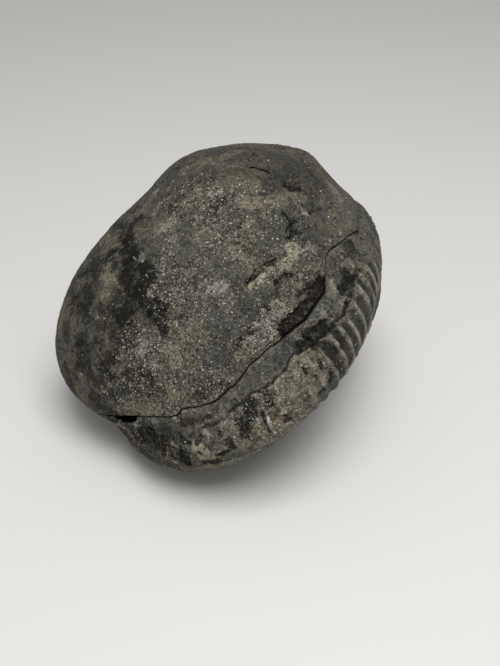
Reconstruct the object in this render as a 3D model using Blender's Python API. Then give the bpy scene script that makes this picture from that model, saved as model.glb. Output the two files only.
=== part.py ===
"""A stone nodule that was split open and closed again over a fossil ammonite.

Two loose pieces: ammonite_half holds the coiled shell, whose ribbed outer whorl runs round
its rim, and cover_half is the domed stone that closes over it. Both are worked out in the
coil's own frame: its centre is the middle of the shell, `around` turns about the coil's
axis and `up` rises from the coil's plane towards the cover, both in degrees. The model is
in metres, +Z up, and the origin is on the flat spot that the stone rests on, under its
centre of mass.
"""

import math

import bmesh
import bpy
from mathutils import Euler, Vector, noise

MM = 0.001

# Where the coil lies: how far its axis leans, which way, and how it is turned about itself.
COIL_CENTRE = Vector((0.5, -3.1, 20.8)) * MM
COIL_LEAN = math.radians(37.7)
COIL_HEADING = math.radians(185.5)
COIL_TURN = math.radians(110.5)

# The shell: a flattened disc with a blunt rim, a little wider where the coil has grown.
SHELL_RADIUS = 30.9 * MM
SHELL_GROWTH = 0.09
SHELL_WIDEST = 4.6
SHELL_HALF_WIDTH = 11.1 * MM
RIM_BLUNTNESS = 2.6

# Stone masses round the shell: centre and half axes, in the coil's frame.
DOME = (Vector((-7.6, 1.3, 10.9)) * MM, Vector((31.7, 29.9, 11.9)) * MM)
CROWN = (Vector((-12.6, -0.1, 14.5)) * MM, Vector((28.5, 28.5, 18.6)) * MM)
SHOULDER = (Vector((-5.3, 18.3, 3.9)) * MM, Vector((18.4, 18.4, 27.0)) * MM)
BELLY = (Vector((-1.0, 4.0, -4.0)) * MM, Vector((24.6, 24.6, 18.4)) * MM)
MASS_BLEND = 5.8
LEAST_REACH = 0.5 * MM

# Worn flats: distance from the coil's centre, and the direction that each one faces.
BACK_FLAT = (29.7 * MM, 181.5, 30.8)
CROWN_FLAT = (43.5 * MM, 123.7, 42.7)
FLAT_BLEND = 10.0

# Swelling of the weathered surface: its height, the size of its lumps and its pattern.
LUMP_HEIGHT = 0.6 * MM
LUMP_SIZE = 13.0 * MM
LUMP_PATTERN = 4.3

# Ribs of the outer whorl: crests across the rim, almost straight, with furrows between.
RIB_PITCH = 5.3
RIB_FIRST = -47.5
RIB_COUNT = 31
RIB_HEIGHT = 0.7 * MM
RIB_LEAN = 0.15
RIB_LOWEST = -40.0

# The split: how high its edge lies, right round the rim, and the face inside it.
SPLIT_EDGE = (
    (-74.0, 19.7), (-63.0, 19.8), (-51.0, 18.8), (-43.5, 17.4), (-38.8, 17.3), (-36.5, 18.4),
    (-32.5, 17.9), (-28.0, 16.4), (-20.0, 15.7), (-9.0, 16.3), (-2.5, 17.6), (8.0, 16.8),
    (16.0, 15.1), (25.0, 12.9), (38.0, 11.6), (47.0, 14.4), (52.0, 15.1), (56.0, 14.3),
    (63.0, 9.8), (70.0, 5.2), (90.0, 5.6), (115.0, 8.6), (150.0, 12.2), (200.0, 14.5),
    (240.0, 17.0),
)
SPLIT_MIDDLE = 8.4 * MM
SPLIT_GAP = 0.5 * MM
SPLIT_RIPPLE = 0.6 * MM

# The ribbed skin of the shell ends at this line, with a step down to the dark stone above it:
# how deep the step is, and how many degrees it takes.
LEDGE_LINE = (
    (-70.0, 8.6), (-39.0, 9.8), (-14.0, 10.5), (-6.5, 10.6), (-1.0, 9.8), (12.0, 9.5),
    (21.0, 6.9), (27.0, 5.7), (46.0, 5.5), (67.0, 2.1), (110.0, 3.6), (200.0, 7.0),
)
LEDGE_STEP = 0.5 * MM
LEDGE_RUN = 1.2

# Breaks: a flake gone from the cover's edge, as (start, end, rise, depth), and the corner
# of the ammonite half that has dropped away and left an open wedge, as (start, end, drop).
FLAKE = (11.0, 42.0, 4.4, 2.4 * MM)
WEDGE = (-104.0, -58.0, 4.4)

# How finely each half is divided: rows from pole to pole, and columns round the rim, and
# the angle in degrees at which two faces meet in a sharp edge.
UNDER_ROWS = (-90.0, -78.0, -66.0, -55.0, -45.0, -37.0, -30.0, -23.5, -17.5, -12.0)
RIM_ROWS = (0.3, 0.56, 0.78, 0.93, 1.0)
SPLIT_ROWS = (0.86, 0.5, 0.0)
COVER_ROWS = 16
COVER_COLUMNS = 96
PLAIN_STEP = 6.5
SHARP_FROM = 70.0


def unit(around, up):
    """Direction at `around` and `up` degrees in the coil's frame."""
    a = math.radians(around)
    u = math.radians(up)
    return Vector((math.cos(a) * math.cos(u), math.sin(a) * math.cos(u), math.sin(u)))


COIL_TO_WORLD = (
    Euler((0.0, 0.0, COIL_HEADING)).to_matrix()
    @ Euler((0.0, COIL_LEAN, 0.0)).to_matrix()
    @ Euler((0.0, 0.0, COIL_TURN)).to_matrix()
)
DOWN = COIL_TO_WORLD.transposed() @ Vector((0.0, 0.0, -1.0))


def smooth(start, end, value):
    """0 before start, 1 after end, and an even curve between."""
    t = min(max((value - start) / (end - start), 0.0), 1.0)
    return t * t * (3.0 - 2.0 * t)


def turned(angle):
    """The same angle between -180 and 180 degrees."""
    return (angle + 180.0) % 360.0 - 180.0


def read_line(points, around):
    """Value at `around` on a line of (around, value) points that closes round the rim."""
    start, value = points[0]
    around = start + (around - start) % 360.0
    for (a0, v0), (a1, v1) in zip(points, points[1:] + ((start + 360.0, value),)):
        if around <= a1:
            return v0 + (v1 - v0) * smooth(a0, a1, around)
    return value


def ellipsoid_reach(direction, mass):
    """Distance from the coil's centre to the far side of an ellipsoid, or small where the
    direction passes it by."""
    centre, half = mass
    d = Vector((direction.x / half.x, direction.y / half.y, direction.z / half.z))
    c = Vector((centre.x / half.x, centre.y / half.y, centre.z / half.z))
    along = d.dot(c)
    within = max(along * along - d.dot(d) * (c.dot(c) - 1.0), 0.0)
    return max((along + math.sqrt(within)) / d.dot(d), LEAST_REACH)


def shell_reach(direction, around):
    """Distance from the centre to the surface of the shell's blunt disc."""
    radius = SHELL_RADIUS * (1.0 + SHELL_GROWTH * math.cos(math.radians(around - SHELL_WIDEST)))
    out = math.hypot(direction.x, direction.y) / radius
    rise = abs(direction.z) / SHELL_HALF_WIDTH
    return (out**RIM_BLUNTNESS + rise**RIM_BLUNTNESS) ** (-1.0 / RIM_BLUNTNESS)


def worn_flat(reach, direction, flat):
    """Wear a reach down to a flat, with a soft edge."""
    distance, around, up = flat
    facing = direction.dot(unit(around, up))
    if facing <= 0.0:
        return reach
    return (reach**-FLAT_BLEND + (distance / facing) ** -FLAT_BLEND) ** (-1.0 / FLAT_BLEND)


def plain_reach(around, up):
    """Reach of the stone's surface before ribs, ledges and breaks."""
    direction = unit(around, up)
    reaches = [shell_reach(direction, around)]
    reaches += [ellipsoid_reach(direction, mass) for mass in (DOME, CROWN, SHOULDER, BELLY)]
    reach = sum(r**MASS_BLEND for r in reaches) ** (1.0 / MASS_BLEND)
    for flat in (BACK_FLAT, CROWN_FLAT):
        reach = worn_flat(reach, direction, flat)
    place = direction * (reach / LUMP_SIZE) + Vector((LUMP_PATTERN, 0.0, 0.0))
    off_rim = smooth(6.0, 24.0, abs(up))
    return reach + LUMP_HEIGHT * off_rim * noise.noise(place, noise_basis="PERLIN_ORIGINAL")


def rested(point):
    """A point of the coil's frame in the world, cut off level at the flat resting spot."""
    place = COIL_CENTRE + COIL_TO_WORLD @ point
    if place.z < 0.0:
        place = COIL_CENTRE + (place - COIL_CENTRE) * (COIL_CENTRE.z / (COIL_CENTRE.z - place.z))
        place.z = 0.0
    return place


def flaked(around, rise):
    """How much of the flake is gone at a place `rise` degrees above the split's edge."""
    start, end, height, depth = FLAKE
    ends = smooth(start, start + 6.0, turned(around)) * smooth(end, end - 5.0, turned(around))
    return depth * ends * smooth(height + 1.6, height - 1.6, rise)


def split_point(around, share, side):
    """Point of the split face: share runs from 0 in the middle to 1 at the edge, and side is
    -1 on the ammonite half and 1 on the cover half."""
    up = math.radians(read_line(SPLIT_EDGE, around))
    reach = plain_reach(around, math.degrees(up))
    out = Vector((math.cos(math.radians(around)), math.sin(math.radians(around)), 0.0))
    out *= reach * math.cos(up) * share
    ripple = noise.noise(out / LUMP_SIZE, noise_basis="PERLIN_ORIGINAL") * (1.0 - share**4)
    height = SPLIT_MIDDLE + (reach * math.sin(up) - SPLIT_MIDDLE) * share**3
    height += SPLIT_RIPPLE * ripple + side * SPLIT_GAP / 2.0
    return out + Vector((0.0, 0.0, height))


def rib_columns():
    """Columns round the ammonite half as (around, crest): four to each rib, from its crest
    down into the furrow and up again, and wider steps where the stone is plain."""
    columns = []
    for step in range(4 * RIB_COUNT):
        around = RIB_FIRST + RIB_PITCH * step / 4.0
        columns.append((around, (0.5, 0.0, -0.5, 0.0)[step % 4]))
    start = columns[-1][0]
    plain = 360.0 - (start - columns[0][0])
    steps = round(plain / PLAIN_STEP)
    columns += [(start + plain * step / steps, 0.0) for step in range(1, steps)]
    return columns


def rib_relief(around, up, crest):
    """Height of a rib or furrow, fading out at the ends of the row, at the ledge and under the
    rim."""
    last = RIB_FIRST + RIB_PITCH * (RIB_COUNT - 1)
    ends = smooth(RIB_FIRST - 4.0, RIB_FIRST + 12.0, around) * smooth(last + 4.0, last - 14.0, around)
    ledge = read_line(LEDGE_LINE, around)
    across = smooth(RIB_LOWEST, RIB_LOWEST + 16.0, up) * smooth(ledge + 2.0, ledge - 3.0, up)
    return RIB_HEIGHT * crest * ends * across


def ammonite_point(column, row):
    """Point of the ammonite half: rows run up the belly and the ribbed rim to the ledge, over
    it to the split's edge, and in across the split face."""
    around, crest = column
    ledge = read_line(LEDGE_LINE, around)
    rows = list(UNDER_ROWS) + [UNDER_ROWS[-1] + (ledge - UNDER_ROWS[-1]) * share for share in RIM_ROWS]
    if row < len(rows):
        up = rows[row]
        leant = around + RIB_LEAN * max(up, RIB_LOWEST)
        reach = plain_reach(leant, up) + rib_relief(turned(around), up, crest)
        return rested(unit(leant, up) * reach)
    around += RIB_LEAN * ledge
    if row == len(rows):
        up = ledge + LEDGE_RUN
        return rested(unit(around, up) * (plain_reach(around, up) - LEDGE_STEP))
    if row > len(rows) + 1:
        return rested(split_point(around, SPLIT_ROWS[row - len(rows) - 2], -1.0))
    start, end, drop = WEDGE
    widest = (start + 3.0 * end) / 4.0
    opening = smooth(start, widest, turned(around)) * smooth(end, widest, turned(around))
    edge = split_point(around, 1.0, -1.0)
    return rested(edge - Vector((0.0, 0.0, math.radians(drop) * edge.length * opening)))


def cover_point(around, row):
    """Point of the cover half: rows run out across its split face, then up over the dome."""
    if row < len(SPLIT_ROWS):
        return rested(split_point(around, SPLIT_ROWS[-1 - row], 1.0))
    edge = read_line(SPLIT_EDGE, around)
    share = (row - len(SPLIT_ROWS)) / COVER_ROWS
    up = edge + (90.0 - edge) * share**1.3
    gone = flaked(around, up - edge)
    if share == 0.0:
        whole = split_point(around, 1.0, 1.0)
        return rested(split_point(around, 1.0 - gone / math.hypot(whole.x, whole.y), 1.0))
    point = unit(around, up) * plain_reach(around, up)
    point.z += SPLIT_GAP / 2.0 * (1.0 - share)
    inward = Vector((point.x, point.y, 0.0)).normalized()
    return rested(point - inward * gone)


def stone(name, colour, roughness):
    """Material of one half."""
    material = bpy.data.materials.new(name)
    material.use_nodes = True
    shader = material.node_tree.nodes["Principled BSDF"]
    shader.inputs["Base Color"].default_value = (*colour, 1.0)
    shader.inputs["Roughness"].default_value = roughness
    shader.inputs["Metallic"].default_value = 0.0
    return material


def half(name, columns, rows, place, material, collection):
    """One half, shaped from a ball whose grid of points is moved into place."""
    ball = bmesh.new()
    bmesh.ops.create_uvsphere(ball, u_segments=columns, v_segments=rows, radius=1.0)
    for vert in ball.verts:
        turn = math.degrees(math.atan2(vert.co.y, vert.co.x)) % 360.0
        rise = math.degrees(math.asin(min(max(vert.co.z, -1.0), 1.0))) + 90.0
        vert.co = place(round(turn * columns / 360.0) % columns, round(rise * rows / 180.0))
    mesh = bpy.data.meshes.new(name)
    ball.to_mesh(mesh)
    ball.free()
    mesh.shade_smooth()
    mesh.set_sharp_from_angle(angle=math.radians(SHARP_FROM))
    mesh.materials.append(material)
    piece = bpy.data.objects.new(name, mesh)
    collection.objects.link(piece)
    return piece


def build():
    """Make both halves in a collection of their own."""
    for old in list(bpy.data.objects):
        bpy.data.objects.remove(old, do_unlink=True)
    nodule = bpy.data.collections.new("fossil_nodule")
    bpy.context.scene.collection.children.link(nodule)

    ribs = rib_columns()
    rows = len(UNDER_ROWS) + len(RIM_ROWS) + len(SPLIT_ROWS) + 1
    dark_stone = stone("ammonite_stone", (0.070, 0.068, 0.058), 0.72)
    half("ammonite_half", len(ribs), rows, lambda c, r: ammonite_point(ribs[c], r), dark_stone, nodule)

    step = 360.0 / COVER_COLUMNS
    rows = len(SPLIT_ROWS) + COVER_ROWS
    grey_stone = stone("cover_stone", (0.090, 0.088, 0.078), 0.75)
    half("cover_half", COVER_COLUMNS, rows, lambda c, r: cover_point(c * step, r), grey_stone, nodule)


build()
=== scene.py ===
# %% [markdown]
# # A fossil ammonite in a split nodule
# The real object is a dark grey stone, about as big as a small fist. Long ago mud hardened round a
# coiled shell, and the lump that came out of it was tapped open along the shell and closed again. So
# there are two loose pieces: the lower half holds the coil, whose ribbed rim shows, and the domed upper
# half is its cover.
#
# This lesson takes the measured model as a fixed frame and makes each half again as a fine mesh of the
# same form, with ribs, ledges, pits and a stone finish. First come the frame and the units.

# %% Load the frame
import math

import bmesh
import bpy
import numpy as np
from mathutils import Euler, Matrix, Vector, noise


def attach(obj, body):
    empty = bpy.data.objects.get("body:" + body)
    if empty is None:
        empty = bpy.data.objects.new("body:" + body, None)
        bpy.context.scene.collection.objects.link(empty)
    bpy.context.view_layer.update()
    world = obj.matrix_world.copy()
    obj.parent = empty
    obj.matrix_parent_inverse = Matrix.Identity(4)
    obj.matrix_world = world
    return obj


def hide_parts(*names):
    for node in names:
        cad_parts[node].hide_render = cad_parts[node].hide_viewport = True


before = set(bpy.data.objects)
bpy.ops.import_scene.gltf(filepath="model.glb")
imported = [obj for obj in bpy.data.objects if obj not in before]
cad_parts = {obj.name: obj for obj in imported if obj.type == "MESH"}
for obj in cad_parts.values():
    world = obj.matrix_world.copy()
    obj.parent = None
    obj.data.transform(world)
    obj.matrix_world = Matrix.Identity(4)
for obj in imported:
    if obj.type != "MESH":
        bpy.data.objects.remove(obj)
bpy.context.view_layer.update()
MM = 0.001
TINY = 1e-9  # keeps a division by nothing from failing
print("nodes in the frame:", sorted(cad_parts))

# %% [markdown]
# ## The coil's own frame
# An ammonite is a flat coil, so places on it are easiest to name in a frame of its own: `around` turns
# about the coil's axis and `up` rises from the coil's plane towards the cover, both in degrees. In the
# real stone the axis leans over, so one matrix turns the coil's frame into the world. All lengths in
# this frame are in millimetres.

# %% Directions in the coil's frame
COIL_CENTRE = np.array([0.5, -3.1, 20.8])
COIL_LIE, COIL_LEAN, COIL_START = 185.5, 37.7, 110.5  # degrees
COIL_TO_WORLD = np.array(
    Euler((0.0, 0.0, math.radians(COIL_LIE))).to_matrix()
    @ Euler((0.0, math.radians(COIL_LEAN), 0.0)).to_matrix()
    @ Euler((0.0, 0.0, math.radians(COIL_START))).to_matrix()
)


def unit(around, up):
    """Directions at `around` and `up` degrees."""
    turn, rise = np.radians(around), np.radians(up)
    return np.stack([np.cos(turn) * np.cos(rise), np.sin(turn) * np.cos(rise), np.sin(rise)], axis=-1)


def turned(angle):
    """The same angle between -180 and 180 degrees."""
    return (angle + 180.0) % 360.0 - 180.0


print("the coil's axis points to", COIL_TO_WORLD[:, 2].round(2))

# %% [markdown]
# ## Three curves that everything uses
# A real stone has no hard changes. `smooth` eases from one value to another, `read_line` reads a line
# that closes round the rim, and `perlin` is smooth noise, which stands for all that weather does at
# random. Its pattern number moves it to another place in the same endless noise, so no two uses look
# alike.

# %% Fades, lines and noise
def smooth(start, end, value):
    """0 before start, 1 after end, and an even curve between."""
    share = np.clip((value - start) / (end - start), 0.0, 1.0)
    return share * share * (3.0 - 2.0 * share)


def read_line(points, around):
    """Value at `around` on a line of (around, value) points that closes round the rim."""
    turns, values = np.array(points).T
    return np.interp(around, turns, values, period=360.0)


def perlin(places, size, pattern=0.0):
    """Smooth noise from about -1 to 1, whose lumps are `size` millimetres across."""
    spots = places / size + pattern
    return np.array([noise.noise(spot, noise_basis="PERLIN_ORIGINAL") for spot in spots.tolist()])


print("an eased quarter of the way:", smooth(0.0, 1.0, 0.25))

# %% [markdown]
# ## The nodule's form
# The form follows a rule: how far the surface lies from the coil's centre in each direction. The shell
# is a flat disc with a blunt rim. Ellipsoids stand for the stone that grew round it, and a high power
# blends them all into one swollen lump. Worn flats then cut it back. A rule like this can be read at
# any fineness, which is why it was chosen: the frame uses it coarsely, and the fine mesh below asks the
# same rule much more often.

# %% Sizes of the form
SHELL = {"radius": 30.9, "growth": 0.09, "widest": 4.6, "half_width": 11.1, "bluntness": 2.6}
MASSES = {  # centre and half sizes of each ellipsoid
    "dome": ((-7.6, 1.3, 10.9), (31.7, 29.9, 11.9)),
    "crown": ((-12.6, -0.1, 14.5), (28.5, 28.5, 18.6)),
    "shoulder": ((-5.3, 18.3, 3.9), (18.4, 18.4, 27.0)),
    "belly": ((-1.0, 4.0, -4.0), (24.6, 24.6, 18.4)),
}
MASS_BLEND = 5.8
RIM = 33.0  # rough radius of the rim, which turns directions into millimetres
LEAST_REACH = 0.5
WORN_FLATS = ((29.7, 181.5, 30.8), (43.5, 123.7, 42.7))  # distance from the centre, around and up
FLAT_BLEND, LEAST_FACING = 10.0, 0.001
SWELLS = (  # small swells and dips: around, up, width and height, in degrees and millimetres
    (115, 58, 6.0, 0.9), (112, 69, 3.5, -0.7), (98, 21, 4.5, 0.8), (87, 15, 4.5, -0.6),
    (84, 1, 7.0, 0.9), (-98, 27, 6.0, 0.9), (-86, 20, 5.0, 0.9),
)
LUMP_HEIGHT, LUMP_SIZE, LUMP_PATTERN = 0.6, 13.0, np.array([4.3, 0.0, 0.0])
LUMP_START, LUMP_FULL = 6.0, 24.0  # degrees from the rim where the lumps start and where they are full
print("ellipsoids:", ", ".join(MASSES), "and", len(SWELLS), "swells and dips")

# %% [markdown]
# ## Reach in every direction
# A ray from the coil's centre leaves an ellipsoid where a quadratic equation says. The reaches of all
# masses are blended as powers, so the farthest one wins nearly alone, and where two are alike the
# surface swells softly over both. A worn flat is blended the other way, so that the nearest one wins.

# %% The rule for the form
def ellipsoid_reach(directions, centre, half):
    """Distance from the coil's centre to the far side of an ellipsoid."""
    scaled, middle = directions / half, np.array(centre) / half
    along, length = scaled @ middle, (scaled * scaled).sum(axis=-1)
    within = np.maximum(along * along - length * (middle @ middle - 1.0), 0.0)
    return np.maximum((along + np.sqrt(within)) / length, LEAST_REACH)


def shell_reach(directions, around):
    """Distance from the coil's centre to the surface of the shell's blunt disc."""
    growth = SHELL["growth"] * np.cos(np.radians(around - SHELL["widest"]))
    out = np.hypot(directions[:, 0], directions[:, 1]) / (SHELL["radius"] * (1.0 + growth))
    rise = np.abs(directions[:, 2]) / SHELL["half_width"]
    return (out ** SHELL["bluntness"] + rise ** SHELL["bluntness"]) ** (-1.0 / SHELL["bluntness"])


def plain_reach(around, up):
    """Reach of the stone's surface before ribs, ledges and breaks."""
    directions = unit(around, up)
    total = shell_reach(directions, around) ** MASS_BLEND
    for centre, half in MASSES.values():
        total = total + ellipsoid_reach(directions, centre, np.array(half)) ** MASS_BLEND
    reach = total ** (1.0 / MASS_BLEND)
    for distance, flat_around, flat_up in WORN_FLATS:
        facing = directions @ unit(flat_around, flat_up)
        limit = distance / np.maximum(facing, LEAST_FACING)
        reach = (reach**-FLAT_BLEND + limit**-FLAT_BLEND) ** (-1.0 / FLAT_BLEND)
    for swell_around, swell_up, width, height in SWELLS:
        apart = np.linalg.norm(directions - unit(swell_around, swell_up), axis=1) * RIM
        reach = reach + height * np.exp(-((apart / width) ** 2))
    lumps = perlin(directions * reach[:, None], LUMP_SIZE, LUMP_PATTERN)
    return reach + LUMP_HEIGHT * smooth(LUMP_START, LUMP_FULL, np.abs(up)) * lumps


print("reach at the rim:", plain_reach(np.arange(0.0, 360.0, 60.0), np.zeros(6)).round(1), "mm")

# %% [markdown]
# ## The split and the ledge
# The crack between the halves runs round the rim, rising and dipping where the stone tore. Below it
# lies a strip of bare dark stone, and then a ledge where the ribbed skin of the shell begins. Each is
# one line: how high it lies at each turn round the rim. A little noise makes both lines as ragged as a
# real break. Each half reads the same line, so their edges match.

# %% Lines round the rim
SPLIT_EDGE = (
    (-74.0, 19.7), (-63.0, 19.8), (-51.0, 18.8), (-43.5, 17.4), (-38.8, 17.3), (-36.5, 18.4),
    (-32.5, 17.9), (-28.0, 16.4), (-20.0, 15.7), (-9.0, 16.3), (-2.5, 17.6), (8.0, 16.8),
    (16.0, 15.1), (25.0, 12.9), (38.0, 11.6), (47.0, 14.4), (52.0, 15.1), (56.0, 14.3),
    (63.0, 9.8), (70.0, 5.2), (90.0, 5.6), (115.0, 8.6), (150.0, 12.2), (200.0, 14.5),
    (240.0, 17.0),
)
LEDGE_LINE = (
    (-70.0, 8.6), (-39.0, 9.8), (-14.0, 10.5), (-6.5, 10.6), (-1.0, 9.4), (12.0, 9.7), (16.0, 8.4),
    (21.0, 6.9), (25.5, 6.0), (32.5, 3.6), (41.0, 3.9), (47.0, 4.2), (54.0, 2.0), (60.0, 1.0),
    (66.0, 1.3), (71.0, 2.6), (110.0, 3.6), (200.0, 7.0),
)
SPLIT_WANDER = ((2.4, 0.35, 3.7), (0.9, 0.16, 9.1))  # size in millimetres, amount in degrees, pattern
LEDGE_WANDER = ((3.0, 1.1, 5.3), (1.1, 0.5, 1.9))


def ragged(around, wanders):
    """How far a line round the rim wanders, in degrees."""
    rim = unit(around, 0.0 * around) * RIM
    return sum(amount * perlin(rim, size, pattern) for size, amount, pattern in wanders)


def split_up(around):
    """How high the split's edge lies."""
    return read_line(SPLIT_EDGE, around) + ragged(around, SPLIT_WANDER)


def ledge_up(around):
    """How high the ribbed skin reaches."""
    return read_line(LEDGE_LINE, around) + ragged(around, LEDGE_WANDER)


split_rise = float(np.ptp(split_up(np.arange(0.0, 360.0, 1.0))))
print("the split rises", round(split_rise, 1), "degrees round the rim")

# %% [markdown]
# ## A grid for each half
# A ball's own grid bunches up at its poles. So each half starts as a square grid, whose square rings
# are rounded into circles: the middle of the grid becomes the top of the dome, or the belly underneath,
# and its border becomes the edge of the split. The border is then pulled inwards in a few rings that
# close at the middle, for the broken face inside the crack. Height in this flat stage only counts those
# inner rings.

# %% Build the flat grid
CELLS = 300
SPLIT_RINGS = (0.985, 0.95, 0.88, 0.6, 0.0)


def flat_grid(name):
    """A square grid with its border pulled in to the middle, as a closed mesh object."""
    grid = bmesh.new()
    bmesh.ops.create_grid(grid, x_segments=CELLS, y_segments=CELLS, size=1.0)
    for ring in range(1, len(SPLIT_RINGS) + 1):
        border = [edge for edge in grid.edges if edge.is_boundary]
        pulled = bmesh.ops.extrude_edge_only(grid, edges=border)["geom"]
        corners = [part for part in pulled if isinstance(part, bmesh.types.BMVert)]
        for corner in corners:
            corner.co.z = ring
    bmesh.ops.pointmerge(grid, verts=corners, merge_co=(0.0, 0.0, float(ring)))
    mesh = bpy.data.meshes.new(name)
    grid.to_mesh(mesh)
    grid.free()
    piece = bpy.data.objects.new(name, mesh)
    bpy.context.scene.collection.objects.link(piece)
    return piece


print("each half starts from", CELLS, "by", CELLS, "squares and", len(SPLIT_RINGS), "inner rings")

# %% [markdown]
# ## Round the rings
# On the grid every ring is a square. Each of its four sides becomes a quarter of a circle: how far
# along its side a vertex lies is read as a turn. How far out the ring lies stays as it is.

# %% Round the square rings
HALF_SIDE = 45.0  # degrees


def grid_places(piece):
    """For each vertex: how far out it lies on the grid, its turn in degrees and its inner ring."""
    flat = np.zeros(len(piece.data.vertices) * 3)
    piece.data.vertices.foreach_get("co", flat)
    x, y, z = flat.reshape(-1, 3).T
    share = np.maximum(np.abs(x), np.abs(y))
    wide = np.abs(x) >= np.abs(y)
    slope = np.where(wide, y, x) / np.maximum(share, TINY)
    sign = np.where(wide, np.sign(x), np.sign(y))
    quarter = HALF_SIDE * slope * sign
    sideways = quarter + np.where(x < 0.0, 180.0, 0.0)
    endways = np.where(y < 0.0, 270.0, 90.0) - quarter
    return share, turned(np.where(wide, sideways, endways)), z.round().astype(int)


print("each side of a ring becomes", 2.0 * HALF_SIDE, "degrees")

# %% [markdown]
# ## Place the grid on the form
# The outer rings follow the rule for the form. The inner rings lie on the split face, half a gap to
# each side of the crack. The stone rests on a worn flat spot, so whatever would lie below the ground is
# drawn up to it.

# %% Split face and resting flat
SPLIT_MIDDLE, SPLIT_RIPPLE = 8.4, 0.6
SPLIT_GAP = ((-74.0, 0.5), (-40.0, 0.42), (10.0, 0.42), (45.0, 0.4), (70.0, 0.3), (180.0, 0.5))


def split_face(around, share, side):
    """Points of the broken face: share runs from 0 in the middle to 1 at the edge."""
    edge = split_up(around)
    reach = plain_reach(around, edge)
    out = unit(around, 0.0 * around)[:, :2] * (reach * np.cos(np.radians(edge)) * share)[:, None]
    flat = np.column_stack([out, 0.0 * around])
    ripple = perlin(flat, LUMP_SIZE) * (1.0 - share**4)
    height = SPLIT_MIDDLE + (reach * np.sin(np.radians(edge)) - SPLIT_MIDDLE) * share**3
    height += SPLIT_RIPPLE * ripple + side * read_line(SPLIT_GAP, around) / 2.0
    return np.column_stack([out, height])


def rested(points):
    """Points of the coil's frame in the world, in millimetres, drawn up to the flat resting spot."""
    places = COIL_CENTRE + points @ COIL_TO_WORLD.T
    below = places[:, 2] < 0.0
    spread = COIL_CENTRE[2] / (COIL_CENTRE[2] - places[below, 2])
    places[below] = COIL_CENTRE + (places[below] - COIL_CENTRE) * spread[:, None]
    places[below, 2] = 0.0
    return places


print("the crack gapes by up to", max(gap for turn, gap in SPLIT_GAP), "mm")

# %% [markdown]
# ## Two breaks
# A long flake has gone from the cover's edge, and left a hollow full of rubble. At the front left a
# corner of the lower half has dropped away, which opens the crack to a black wedge. Both are depths
# that fade out at their ends, so that they can simply be taken off the form.

# %% The flake and the wedge
FLAKE_TOP = (
    (12.0, 16.0), (14.8, 19.2), (19.3, 19.7), (24.5, 18.1), (28.0, 17.2), (32.3, 16.4), (37.2, 16.2),
    (41.0, 15.9), (43.3, 15.2), (44.5, 13.6),
)
FLAKE_ENDS = ((12.0, 14.8), (45.0, 42.5))  # turns over which each end of the flake runs out
FLAKE_WANDER, FLAKE_LEAST = ((2.2, 0.7, 7.7),), 0.5  # the top line's wander, and the least height in degrees
FLAKE_WALL, FLAKE_SLOPE, FLAKE_THROAT, FLAKE_RUBBLE = 1.1, -0.5, 0.1, 0.55  # depths in millimetres
FLAKE_LUMPS = ((1.0, 1.6, 6.1), (0.7, 0.8, 2.9))  # the rubble's lumps: share, size and pattern
RUBBLE_IN, RUBBLE_OUT = (0.0, 0.2), (1.0, 0.9)  # shares of the way down where the rubble starts and stops
WALL_RUN, THROAT_RUN = (0.0, 0.08), (0.75, 1.0)
WEDGE = {"right": (-61.0, -70.0), "left": (-78.5, -75.5), "drop": 3.0}


def flake_gone(around, up):
    """How deep the flake is gone from the cover's edge."""
    top = np.interp(around, *np.array(FLAKE_TOP).T) + ragged(around, FLAKE_WANDER)
    ends = smooth(*FLAKE_ENDS[0], around) * smooth(*FLAKE_ENDS[1], around)
    share = np.clip((top - up) / np.maximum(top - split_up(around), FLAKE_LEAST), 0.0, 1.0)
    places = unit(around, up) * RIM
    rubble = sum(part * perlin(places, size, pattern) for part, size, pattern in FLAKE_LUMPS)
    rubble = FLAKE_RUBBLE * rubble * smooth(*RUBBLE_IN, share) * smooth(*RUBBLE_OUT, share)
    wall, throat = smooth(*WALL_RUN, share), smooth(*THROAT_RUN, share)
    return ends * (FLAKE_WALL * wall + FLAKE_SLOPE * share + FLAKE_THROAT * throat + rubble)


def wedge_drop(around):
    """How far the corner of the lower half has dropped away from the cover."""
    return WEDGE["drop"] * smooth(*WEDGE["right"], around) * smooth(*WEDGE["left"], around)


FLAKE_MIDDLE, WELL_GONE = 14.0, 0.5
flake_turns = np.arange(0.0, 60.0)
flake_depth = flake_gone(flake_turns, np.full(len(flake_turns), FLAKE_MIDDLE))
print("the flake is gone over", int(np.count_nonzero(flake_depth > WELL_GONE)), "degrees")

# %% [markdown]
# ## The ammonite half and the cover half
# Now both grids take their form. Alongside each vertex the mesh keeps what later steps need to know
# about its place: where it lies in the coil's frame, and how freely the weather could work on it, from
# 0 inside the crack to 1 on the open surface.

# %% Keep numbers and move vertices
def keep(piece, name, values):
    """Store one number at each vertex."""
    layer = piece.data.attributes.new(name, "FLOAT", "POINT")
    layer.data.foreach_set("value", np.asarray(values, dtype=np.float32))


def place(piece, points):
    """Move each vertex to its place, given in the coil's frame in millimetres."""
    piece.data.vertices.foreach_set("co", (rested(points) * MM).ravel())
    solid = bmesh.new()
    solid.from_mesh(piece.data)
    bmesh.ops.recalc_face_normals(solid, faces=solid.faces)
    solid.to_mesh(piece.data)
    solid.free()
    piece.data.shade_smooth()


print("numbers are kept as", np.float32.__name__)

# %% [markdown]
# ## Share out the rings
# Most rings of the lower half lie below the ledge and the rest between the ledge and the split, so that
# a row of vertices follows each of these lines and their edges stay sharp. The two breaks are taken off
# last, and they run out over the first rings inside the crack.

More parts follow.
